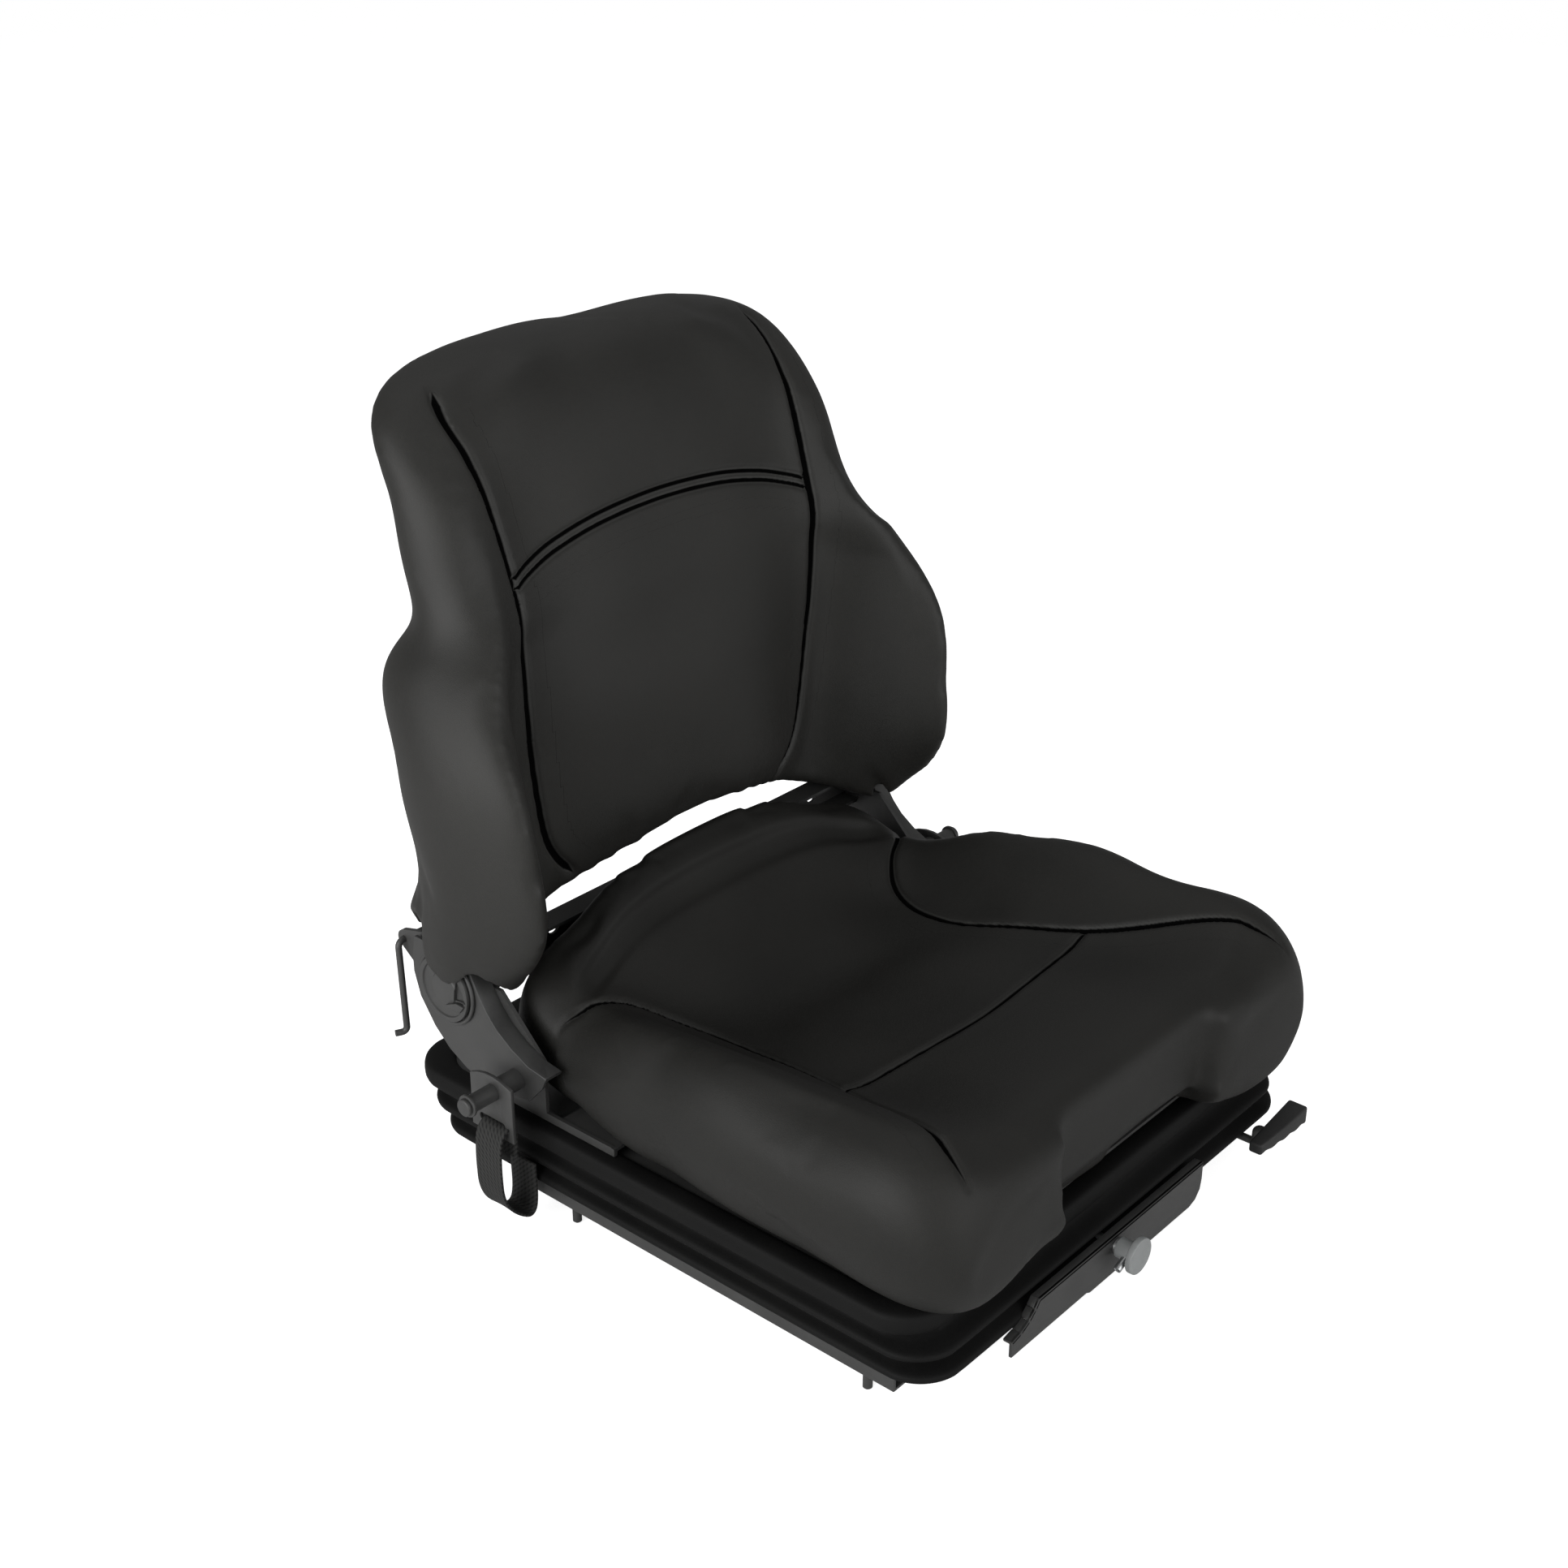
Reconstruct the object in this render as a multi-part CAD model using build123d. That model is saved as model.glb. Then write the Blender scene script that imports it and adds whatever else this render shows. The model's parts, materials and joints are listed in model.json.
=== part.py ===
from build123d import *
import math
import os

# Suspension seat for a tractor or loader, in millimetres.
# +Z is up, the seat faces -Y, and +X is the sitter's left hand.
# Places along Y are drawn from a line 160 mm behind the front of the floor rails.
# At the end all pieces move together, so that the origin lies on the mounting face
# at the centre of the four studs.

# Clearances
fit = 0.05            # running fit, on the radius
gap = 0.3             # between parts that only lie near each other
slide_gap = 0.4       # between a runner and its rail

# Floor rails and studs
rail_spacing = 412    # centre to centre, across the seat
rail_length = 341
rail_width = 32
rail_height = 12.7
rail_wall = 2.2
rail_slot = 12
stud_front = -126
stud_rear = 147
stud_radius = 3.4
stud_drop = 25
stud_head = 14
stud_head_height = 2
stud_neck = 7.2        # square, through the rail

# Slide runners and base pan
runner_length = 320
pan_sheet = 2

# Bellows: half width, front and rear of each ring, and its levels
bellows_half = 226.5
bellows_radius = 35
bellows_wall = 3
bellows_groove = 11
ring_a_front, ring_a_rear = -190, 282
ring_b_front, ring_b_rear = -187, 296
ring_c_front, ring_c_rear = -177, 308
flange_height = 6
ring_b_low, ring_b_high = 28, 34
rim_low, rim_top = 44, 60
rim_lip = 18
lip_height = 3

# Front plate
plate_face = -196
plate_sheet = 2.5
plate_top = 28
plate_lip = 7.7

# Weight adjuster
knob_x = -22
spindle_z = 19
spindle_radius = 3.5
knob_radius = 13.5
knob_front = -216
knob_disc = 5
hub_radius = 7.5
bar_y = -132
bar_half = 58
bar_z = 28
bar_height = 3
bar_depth = 12
spring_x = 45
spring_z = 25
spring_radius = 7
spring_wire = 1.25
spring_pin = 2.5
crank_reach = 16       # from the axle to the pins of the springs

# Scissor linkage: level of both axes at rest, and the arms
lower_axis_z = 30
upper_axis_z = 46
axle_y = 140
arm_length = 300
arm_height = 10
arm_sheet = 5
outer_arm_x = 151
inner_arm_x = 143
axle_tube = 6
axle_stub = 4
glide_stub = 2.5
glide_radius = 4.6
glide_width = 6
track_gap = 0.4
track_wall = 1.8
track_length = 32
ear_sheet = 4
ear_half = 9
middle_pin = 3
middle_hole = 4

# Damper
damper_x = -95
damper_low_y = 100
damper_low_z = 25
damper_high_y = -80
damper_high_z = 42
damper_radius = 9
damper_rod = 4
damper_pin = 3
damper_eye = 8
damper_eye_width = 8
damper_high_bore = 6
damper_body_end = 118

# Top plate, seat pan and its carriers
plate_low = 54.2
plate_high = 56.7
rear_window_half = 150
rear_window_low, rear_window_high = 236, 278
runner_bar_x = 150
runner_bar_width = 26
seat_pan_low = 64
seat_pan_high = 66.5
seat_pan_half = 188.5
seat_pan_front, seat_pan_rear = -165, 150
bump_radius = 12

# Side brackets and recliners
bracket_outer = 216
bracket_sheet = 3
recliner_outer = 231
recliner_sheet = 3
recline_y = 244
recline_z = 147
arm_outer = 226
back_arm_sheet = 4
boss_radius = 8
disc_radius = 26
disc_depth = 5
spiral_wire = 1.5
brace_half_y = 10
brace_low, brace_high = 133, 160
brace_sheet = 2.5
release_y = 296
release_z = 165
release_radius = 2.5
release_low = 90
release_tail = 8

# Belt anchor
anchor_x = 253.5
anchor_sheet = 3
anchor_y = 176
anchor_z = 98
anchor_front, anchor_rear = 157, 200
anchor_low, anchor_high = 62, 107
bolt_radius = 5
bolt_head = 8
bolt_end = 281
bolt_head_height = 6
nut_height = 7
strap_front, strap_rear = 161, 187
strap_sheet = 2
strap_outer = 262.5
strap_inner = 231
strap_low = 0
strap_outer_low = 10
strap_top = 32
strap_slot_z = 69.5    # middle of the anchor's slot
strap_slot = 5
hook_sheet = 2

# Fore-and-aft lever
lever_x = 164
lever_z = 8
lever_radius = 3
lever_riser = -198     # the rod turns up in front of the bellows
lever_rear = -55
grip_low_x, grip_high_x = 139, 200
grip_front, grip_rear = -220, -204
grip_low = 16
grip_rod_z = 20.5
grip_inner_height = 9
grip_outer_height = 15

# Back frame tube
tube_radius = 10
tube_x = 175
tube_low_y, tube_low_z = 262, 215
tube_high_y, tube_high_z = 297, 524
tube_bend = 45


def block(x, y, z):
    """A box from its lowest and highest X, Y and Z."""
    size = Box(x[1] - x[0], y[1] - y[0], z[1] - z[0])
    return Pos((x[0] + x[1]) / 2, (y[0] + y[1]) / 2, (z[0] + z[1]) / 2) * size


def rod_x(x, y, z, radius):
    return Pos((x[0] + x[1]) / 2, y, z) * Rot(0, 90, 0) * Cylinder(radius, x[1] - x[0])


def rod_y(x, y, z, radius):
    return Pos(x, (y[0] + y[1]) / 2, z) * Rot(90, 0, 0) * Cylinder(radius, y[1] - y[0])


def rod_z(x, y, z, radius):
    return Pos(x, y, (z[0] + z[1]) / 2) * Cylinder(radius, z[1] - z[0])


def side_sheet(face, x):
    """A face drawn in Y and Z, made a sheet from x[0] to x[1]."""
    return extrude(Plane.YZ.offset(x[0]) * face, x[1] - x[0])


def front_sheet(face, y):
    """A face drawn in X and Z, made a sheet from y[0] to y[1]."""
    plane = Plane((0, y[1], 0), x_dir=(1, 0, 0), z_dir=(0, -1, 0))
    return extrude(plane * face, y[1] - y[0])


def polygon(points):
    return make_face(Polyline(points, close=True))


def other_side(shape):
    return mirror(shape, about=Plane.YZ)


def pair(shape):
    """The right-hand piece and its mirror image, as separate solids."""
    return Compound(children=[*shape.solids(), *other_side(shape).solids()])


# Levels that follow from the sizes above
stud_middle = (stud_front + stud_rear) / 2
pan_low = rail_height + 0.5
pan_rim = flange_height - 0.5
pan_top = pan_low + pan_sheet
rail_x = rail_spacing / 2
arm_angle = math.degrees(math.asin((upper_axis_z - lower_axis_z) / arm_length))
front_y = axle_y - arm_length * math.cos(math.radians(arm_angle))
damper_run = damper_low_y - damper_high_y
damper_rise = damper_high_z - damper_low_z
damper_angle = math.degrees(math.atan2(damper_rise, damper_run))
damper_length = math.hypot(damper_run, damper_rise)
seat_bottom = seat_pan_high + gap
bracket_low = rim_top + 0.5
crank_y = axle_y - crank_reach


def make_rail():
    """C-shaped floor rail, open along its top, with a hole for each stud."""
    outer = Pos(rail_x, rail_height / 2) * Rectangle(rail_width, rail_height)
    inside_height = rail_height - 2 * rail_wall
    inner = Pos(rail_x, rail_height / 2) * Rectangle(rail_width - 2 * rail_wall, inside_height)
    slot = Pos(rail_x, rail_height) * Rectangle(rail_slot, 2 * rail_wall + 1)
    ends = (stud_middle - rail_length / 2, stud_middle + rail_length / 2)
    rail = front_sheet(outer - inner - slot, ends)
    for y in (stud_front, stud_rear):
        half = stud_neck / 2 + fit
        rail -= block((rail_x - half, rail_x + half), (y - half, y + half), (-1, rail_wall + 1))
    return rail


def make_studs():
    studs = []
    for side in (-1, 1):
        for y in (stud_front, stud_rear):
            head = Pos(side * rail_x, y, rail_wall + stud_head_height / 2)
            head = head * Box(stud_head, stud_head, stud_head_height)
            neck = Pos(side * rail_x, y, rail_wall / 2) * Box(stud_neck, stud_neck, rail_wall)
            shank = rod_z(side * rail_x, y, (-stud_drop, 0), stud_radius)
            tip = shank.edges().sort_by(Axis.Z)[0]
            studs.append(head + neck + chamfer(tip, 1))
    return Compound(children=studs)


def make_runner():
    """T-shaped runner: its foot slides in the rail, its web stands in the slot."""
    foot_low = rail_wall + stud_head_height + slide_gap
    foot_high = rail_height - rail_wall - slide_gap
    foot_width = rail_width - 2 * rail_wall - 2 * slide_gap
    foot = Pos(rail_x, (foot_low + foot_high) / 2) * Rectangle(foot_width, foot_high - foot_low)
    web_width = rail_slot - 2 * slide_gap
    web = Pos(rail_x, (foot_low + pan_low) / 2) * Rectangle(web_width, pan_low - foot_low)
    ends = (stud_middle - runner_length / 2, stud_middle + runner_length / 2)
    return front_sheet(foot + web, ends)


def ring(half, front, rear, radius, z):
    """Rounded rectangle at height z, from its half width and its ends in Y."""
    shape = RectangleRounded(2 * half, rear - front, radius)
    return Pos(0, (front + rear) / 2, z) * shape


def make_pan():
    """Pressed base pan with an upturned rim, and a hook each side for the tether."""
    inset = bellows_wall + gap
    outline = (bellows_half - inset, ring_a_front + inset, ring_a_rear - inset)
    rim_top_z = pan_low + pan_rim
    outer = extrude(ring(*outline, bellows_radius - inset, pan_low), pan_rim)
    inside = (outline[0] - pan_sheet, outline[1] + pan_sheet, outline[2] - pan_sheet)
    inner = extrude(ring(*inside, bellows_radius - inset - pan_sheet, pan_top), pan_rim)
    pan = outer - inner
    ribs = [block((x - 6, x + 6), (-90, 90), (pan_top, pan_top + 3)) for x in (-70, 0, 70)]
    for rib in ribs:
        pan += rib
    front_cut = (knob_x - spindle_radius - 2, knob_x + spindle_radius + 2)
    pan -= block(front_cut, (ring_a_front, ring_a_front + 20), (pan_top, rim_top_z + 1))
    hook_x = strap_inner - strap_sheet / 2 - gap
    middle = (strap_front + strap_rear) / 2
    for side in (-1, 1):
        reach = sorted((side * (outline[0] - 2), side * hook_x))
        stand = sorted((side * (hook_x - hook_sheet), side * hook_x))
        pan += block(reach, (middle - 9, middle + 9), (pan_low, pan_top))
        pan += block(stand, (middle - 9, middle + 9), (pan_low, strap_top - 4))
    return pan


def make_bellows():
    """Rubber bellows: a flange, a middle fold and a thick top rim with grooves between."""
    a = (bellows_half, ring_a_front, ring_a_rear)
    b = (bellows_half, ring_b_front, ring_b_rear)
    c = (bellows_half, ring_c_front, ring_c_rear)

    def inset(outline, depth):
        return (outline[0] - depth, outline[1] + depth, outline[2] - depth)

    def between(first, second):
        return tuple((p + q) / 2 for p, q in zip(first, second))

    flange_top = pan_low + flange_height
    groove_a = inset(between(a, b), bellows_groove)
    groove_b = inset(between(b, c), bellows_groove)
    levels = [
        (a, pan_low, 0),
        (a, flange_top, 0),
        (groove_a, (flange_top + ring_b_low) / 2, bellows_groove),
        (b, ring_b_low, 0),
        (b, ring_b_high, 0),
        (groove_b, (ring_b_high + rim_low) / 2, bellows_groove),
        (c, rim_low, 0),
        (c, rim_top - 2, 0),
        (inset(c, 2), rim_top, 2),
    ]
    outer = [ring(*outline, bellows_radius - cut, z) for outline, z, cut in levels]
    inner = []
    for outline, z, cut in levels[:-2]:
        inner.append(ring(*inset(outline, bellows_wall), bellows_radius - cut - bellows_wall, z))
    c_inside = ring(*inset(c, bellows_wall), bellows_radius - bellows_wall, rim_top - lip_height)
    skin = loft(outer, ruled=True) - loft([*inner, c_inside], ruled=True)
    mouth = ring(*inset(c, rim_lip), bellows_radius - rim_lip, rim_low)
    skin -= extrude(mouth, rim_top - rim_low + 1)
    skin -= rod_y(knob_x, (ring_a_front - 5, ring_a_front + 25), spindle_z, spindle_radius + 1.5)
    middle = (strap_front + strap_rear) / 2
    notch = (pan_low - 1, pan_top + gap)
    skin -= block((-bellows_half - 1, bellows_half + 1), (middle - 9 - gap, middle + 9 + gap), notch)
    return skin


def make_front_plate():
    """Folded front plate: a shaped face, a lip along its top and a shelf under the pan."""
    face = polygon([
        (-144, -2), (-56, -2), (-52, -4), (76, -4), (86, 2), (91, 11), (91, plate_top),
        (-114, plate_top), (-124, 18), (-137, 12), (-144, 8),
    ])
    plate = front_sheet(face, (plate_face, plate_face + plate_sheet))
    lip_rear = plate_face + plate_lip
    plate += block((-114, 91), (plate_face, lip_rear), (plate_top - plate_sheet, plate_top))
    shelf = (pan_low - plate_sheet, pan_low)
    plate += block((-120, 85), (plate_face, ring_a_front + 45), shelf)
    hole = (plate_face - 1, plate_face + plate_sheet + 1)
    plate -= rod_y(knob_x, hole, spindle_z, spindle_radius + fit)
    return plate


def make_spindle():
    """Threaded spindle with a collar in front of the plate and one behind it."""
    spindle = rod_y(knob_x, (knob_front + knob_disc, bar_y + 24), spindle_z, spindle_radius)
    front = (plate_face - gap - 2, plate_face - gap)
    behind = (plate_face + plate_sheet + gap, plate_face + plate_sheet + gap + 2)
    spindle += rod_y(knob_x, front, spindle_z, spindle_radius + 2)
    spindle += rod_y(knob_x, behind, spindle_z, spindle_radius + 0.9)
    return spindle


def make_knob():
    """Disc with a domed front on a short hub, turned as one piece."""
    disc_back = knob_front + knob_disc
    hub_back = plate_face - gap - 2 - gap
    dome = disc_back - knob_front
    profile = make_face([
        Line((0, 0), (0, dome)),
        ThreePointArc((0, dome), (knob_radius * 0.6, dome * 0.86), (knob_radius, dome * 0.4)),
        Line((knob_radius, dome * 0.4), (knob_radius - 1, 0)),
        Line((knob_radius - 1, 0), (0, 0)),
    ])
    disc = revolve(profile, Axis.Y)
    disc = Pos(knob_x, disc_back, spindle_z) * Rot(180, 0, 0) * disc
    hub = rod_y(knob_x, (disc_back, hub_back), spindle_z, hub_radius)
    knob = disc + hub
    knob -= rod_y(knob_x, (disc_back, hub_back + 1), spindle_z, spindle_radius)
    knob -= rod_x((knob_x - hub_radius - 1, knob_x), disc_back + 5, spindle_z, 1.8)
    return knob


def make_spring_bar():
    """Nut block on the spindle, with a cross bar and a pin for each spring."""
    nut = block((knob_x - 9, knob_x + 9), (bar_y - 8, bar_y + 8), (pan_top + gap, bar_z))
    nut -= rod_y(knob_x, (bar_y - 9, bar_y + 9), spindle_z, spindle_radius + 0.2)
    depth = (bar_y - bar_depth / 2, bar_y + bar_depth / 2)
    bar = block((-bar_half, bar_half), depth, (bar_z, bar_z + bar_height))
    bar += nut
    for x in (-spring_x, spring_x):
        bar += rod_z(x, bar_y, (spring_z - 2.5, bar_z), spring_pin)
    return bar


def make_spring():
    """Tension spring: a close-wound body with a ring at each end, on its pin."""
    ring_size = spring_pin + gap + spring_wire
    front = Pos(spring_x, bar_y, spring_z) * Torus(ring_size, spring_wire)
    rear = Pos(spring_x, crank_y, spring_z) * Torus(ring_size, spring_wire)
    body_front = bar_y + bar_depth / 2 + 4
    body_rear = crank_y - 12
    body = rod_y(spring_x, (body_front, body_rear), spring_z, spring_radius)
    body = fillet(body.edges(), 2)
    shank_front = rod_y(spring_x, (bar_y + ring_size, body_front + 1), spring_z, spring_wire)
    shank_rear = rod_y(spring_x, (body_rear - 1, crank_y - ring_size), spring_z, spring_wire)
    return body + front + rear + shank_front + shank_rear


def arm_bar(x, rises):
    """One arm of the scissors as a flat bar with round ends, at +X."""
    middle_y = (axle_y + front_y) / 2
    middle_z = (lower_axis_z + upper_axis_z) / 2
    turn = -arm_angle if rises else arm_angle
    face = Pos(middle_y, middle_z) * Rot(0, 0, turn) * SlotCenterToCenter(arm_length, arm_height)
    return side_sheet(face, (x, x + arm_sheet)), middle_y, middle_z


def make_outer_arms():
    """Rise to the front; a tube at the rear joins them and carries the spring crank."""
    outer_end = outer_arm_x + arm_sheet
    bar, middle_y, middle_z = arm_bar(outer_arm_x, True)
    bar -= rod_x((outer_arm_x - 1, outer_end + 1), middle_y, middle_z, middle_pin + fit)
    stub_rear = rod_x((outer_end - 1, outer_end + 1.5 + ear_sheet + 1), axle_y, lower_axis_z, axle_stub)
    stub_front = rod_x((outer_end - 1, outer_end + 1 + glide_width), front_y, upper_axis_z, glide_stub)
    side = bar + stub_rear + stub_front
    tube = rod_x((-outer_arm_x - 1, outer_arm_x + 1), axle_y, lower_axis_z, axle_tube)
    arms = side + other_side(side) + tube
    for x in (-spring_x, spring_x):
        arms += block((x - 6, x + 6), (crank_y - 5, axle_y), (bar_z, bar_z + bar_height))
        arms += rod_z(x, crank_y, (spring_z - 2.5, bar_z + 1), spring_pin)
    return arms


def make_inner_arms():
    """Rise to the rear; a tube at the rear joins them."""
    inner_end = inner_arm_x + arm_sheet
    bar, middle_y, middle_z = arm_bar(inner_arm_x, False)
    bar -= rod_x((inner_arm_x - 1, inner_end + 1), middle_y, middle_z, middle_hole)
    stub_rear = rod_x((inner_end - 1, inner_end + 1.5 + ear_sheet + 1), axle_y, upper_axis_z, axle_stub)
    stub_front = rod_x((inner_end - 1, inner_end + 1 + glide_width), front_y, lower_axis_z, glide_stub)
    side = bar + stub_rear + stub_front
    tube = rod_x((-inner_arm_x - 1, inner_arm_x + 1), axle_y, upper_axis_z, axle_tube)
    return side + other_side(side) + tube


def make_middle_pins():
    middle_y = (axle_y + front_y) / 2
    middle_z = (lower_axis_z + upper_axis_z) / 2
    outer_end = outer_arm_x + arm_sheet
    pin = rod_x((inner_arm_x - 3, outer_end), middle_y, middle_z, middle_pin)
    pin += rod_x((outer_end, outer_end + 2), middle_y, middle_z, middle_pin + 3)
    pin += rod_x((inner_arm_x - 3, inner_arm_x - 1), middle_y, middle_z, middle_pin + 3)
    return pair(pin)


def make_glides(x, z):
    roller = rod_x((x, x + glide_width), front_y, z, glide_radius)
    roller = fillet(roller.edges(), 0.6)
    roller -= rod_x((x - 1, x + glide_width + 1), front_y, z, glide_stub + fit)
    return pair(roller)


def track_profile(x, z, floor):
    """Channel round a glide, open inwards, with its web carried on to the sheet beyond."""
    half = glide_radius + track_gap
    back = x + glide_width + 0.6
    low, high = z - half, z + half
    flange = (x - 0.4, back + track_wall)
    length = (front_y - glide_radius - 1.5, front_y + track_length - glide_radius - 1.5)
    track = block(flange, length, (low - track_wall, low))
    track += block(flange, length, (high, high + track_wall))
    if floor < z:
        track += block((back, back + track_wall), length, (floor, high + track_wall))
    else:
        track += block((back, back + track_wall), length, (low - track_wall, floor))
    return track


def make_ears(x, z, sheet_z):
    """Ear for an axle stub, standing on or hanging from the sheet at sheet_z."""
    side = 1 if sheet_z > z else -1
    low, high = sorted((z, sheet_z))
    ear = block((x, x + ear_sheet), (axle_y - ear_half, axle_y + ear_half), (low, high))
    ear += rod_x((x, x + ear_sheet), axle_y, z, ear_half)
    ear -= block((x - 1, x + ear_sheet + 1), (axle_y - 20, axle_y + 20),
                 (sheet_z, sheet_z + 20) if side > 0 else (sheet_z - 20, sheet_z))
    ear -= rod_x((x - 1, x + ear_sheet + 1), axle_y, z, axle_stub + fit)
    return ear


def make_clevis(y, z, sheet_z):
    """Two ears with a pin for one end of the damper."""
    low, high = sorted((z, sheet_z))
    half = damper_eye_width / 2 + 1
    ears = []
    for side in (-1, 1):
        start, end = sorted((damper_x + side * half, damper_x + side * (half + 3)))
        ear = block((start, end), (y - 7, y + 7), (low, high))
        ear += rod_x((start, end), y, z, 7)
        ear -= rod_x((start - 1, end + 1), y, z, damper_pin)
        ears.append(ear)
    ears.append(rod_x((damper_x - half - 4, damper_x + half + 4), y, z, damper_pin))
    return ears


def along_damper(shape):
    """Turn a shape drawn along -Y so that it runs from the lower to the upper pin."""
    return Pos(damper_x, damper_low_y, damper_low_z) * Rot(-damper_angle, 0, 0) * shape


def make_damper_body():
    half = damper_eye_width / 2
    neck = damper_eye + 4
    body = rod_y(0, (-damper_body_end, -neck), 0, damper_radius)
    body = fillet(body.edges(), 1.5)
    body += rod_y(0, (-neck - 1, 0), 0, 3.5)
    body += rod_x((-half, half), 0, 0, damper_eye)
    body -= rod_x((-half - 1, half + 1), 0, 0, damper_pin + fit)
    body -= rod_y(0, (-damper_body_end - 1, -60), 0, damper_rod + fit)
    return along_damper(body)


def make_damper_rod():
    half = damper_eye_width / 2
    rod = rod_y(0, (-damper_length + damper_high_bore + 1, -78), 0, damper_rod)
    eye = Pos(0, -damper_length, 0) * rod_x((-half, half), 0, 0, damper_eye)
    bore = Pos(0, -damper_length, 0) * rod_x((-half - 1, half + 1), 0, 0, damper_high_bore)
    return along_damper(rod + eye - bore)


def make_bump_stops():
    """Rubber cones that carry the top plate when the seat is right down."""
    stops = []
    top = plate_low - gap
    for x, y in ((-100, -130), (100, -130), (-120, 200), (120, 200)):
        height = top - pan_top
        cone = Pos(x, y, (pan_top + top) / 2) * Cone(bump_radius, bump_radius * 0.7, height)
        stops.append(cone)
    return Compound(children=stops)


def make_top_plate():
    inset = bellows_wall + gap
    outline = (bellows_half - inset, ring_c_front + inset, ring_c_rear - inset)
    plate = extrude(ring(*outline, bellows_radius - inset, plate_low), plate_high - plate_low)
    window = RectangleRounded(2 * rear_window_half, rear_window_high - rear_window_low, 12)
    window = Pos(0, (rear_window_low + rear_window_high) / 2, plate_low - 1) * window
    return plate - extrude(window, plate_high - plate_low + 2)


def make_seat_bars():
    bar = block((runner_bar_x, runner_bar_x + runner_bar_width), (seat_pan_front + 15, seat_pan_rear),
                (plate_high, seat_pan_low))
    return pair(bar)


def make_seat_pan():
    middle = (seat_pan_front + seat_pan_rear) / 2
    length = seat_pan_rear - seat_pan_front
    pan = Pos(0, middle, seat_pan_low) * RectangleRounded(2 * seat_pan_half, length, 25)
    return extrude(pan, seat_pan_high - seat_pan_low)


def make_side_bracket():
    """Bracket from the seat pan back to the recliner, with a foot to the pan's edge."""
    outline = polygon([
        (95, bracket_low), (232, bracket_low), (240, 76), (240, 112), (222, 152), (205, 152),
        (163, 110), (163, 67), (98, 67), (95, 65),
    ])
    bracket = side_sheet(outline, (-bracket_outer, -bracket_outer + bracket_sheet))
    foot = (-bracket_outer, -seat_pan_half)
    bracket += block(foot, (95, seat_pan_rear), (seat_pan_low, seat_pan_high))
    hole = (-bracket_outer - 1, -bracket_outer + bracket_sheet + 1)
    bracket -= rod_x(hole, anchor_y, anchor_z, bolt_radius + fit)
    return bracket


def make_recliner_plate():
    """Crescent side plate with a folded flange down its front edge."""
    top = 176
    face = make_face([
        Line((158, 104), (164, 85)),
        Line((164, 85), (214, 76)),
        ThreePointArc((214, 76), (250, 86), (270, 110)),
        ThreePointArc((270, 110), (283, 140), (278, top)),
        Line((278, top), (222, top)),
        Line((222, top), (209, 141)),
        Line((209, 141), (158, 104)),
    ])
    inner = -recliner_outer + recliner_sheet
    plate = side_sheet(face, (-recliner_outer, inner))
    flange = polygon([(158, 104), (209, 141), (222, top), (225, top), (212, 139.5), (161, 102)])
    plate += side_sheet(flange, (-recliner_outer, -bracket_outer))
    holes = (-recliner_outer - 1, inner + 1)
    plate -= rod_x(holes, recline_y, recline_z, boss_radius + fit)
    plate -= rod_x(holes, anchor_y, anchor_z, bolt_radius + fit)
    return plate


def make_recliner_disc():
    """Round housing of the recliner, on the outside of the side plate."""
    outer = -recliner_outer
    disc = rod_x((outer - disc_depth, outer), recline_y, recline_z, disc_radius)
    rim = disc.edges().filter_by(GeomType.CIRCLE).sort_by(Axis.X)[0]
    disc = fillet(rim, 1.5)
    recess = (outer - disc_depth - 1, outer - disc_depth + 1.5)
    disc -= rod_x(recess, recline_y, recline_z, disc_radius - 6)
    disc -= rod_x((outer - disc_depth - 1, outer + 1), recline_y, recline_z, boss_radius + fit)
    return disc


def make_spiral_spring():
    """Back return spring: a wire round the housing, with its end hooked inwards."""
    radius = disc_radius + gap + spiral_wire
    x = -recliner_outer - spiral_wire
    path = Plane((x, recline_y, recline_z), x_dir=(0, 1, 0), z_dir=(1, 0, 0))
    arc = path * CenterArc((0, 0), radius, 20, 250)
    section = Plane(arc @ 0, z_dir=arc % 0) * Circle(spiral_wire)
    return sweep(section, path=arc)


def back_arm_face(extra=0):
    """Outline of a recliner arm: pivot disc, blade up into the back, ear for the bar."""
    blade = polygon([
        (226, 152), (238, 244), (262, 246), (268, 180), (release_y + 2, release_z + 7),
        (release_y + 2, release_z - 7), (262, 130),
    ])
    face = blade + Pos(recline_y, recline_z) * Circle(24) + Pos(release_y, release_z) * Circle(7)
    return offset(face, extra) if extra else face


def make_back_arm():
    """Recliner arm of the back, with its pivot boss and a hole for the release bar."""
    outer = -arm_outer
    inner = outer + back_arm_sheet
    arm = side_sheet(back_arm_face(), (outer, inner))
    arm += rod_x((-recliner_outer - disc_depth + 2, outer + 1), recline_y, recline_z, boss_radius)
    arm -= rod_x((outer - 1, inner + 1), release_y, release_z, release_radius + fit)
    return arm


def make_cross_brace():
    """Channel on the recline axis that ties the two back arms, with a row of holes."""
    half = arm_outer - back_arm_sheet
    rear = recline_y + brace_half_y
    front = recline_y - brace_half_y
    brace = block((-half, half), (front, rear), (brace_low, brace_high))
    hollow = (brace_low + brace_sheet, brace_high - brace_sheet)
    brace -= block((-half - 1, half + 1), (front - 1, rear - brace_sheet), hollow)
    for x in range(-180, 181, 60):
        brace -= rod_y(x, (front, rear + 1), recline_z, 6)
    return brace


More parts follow.
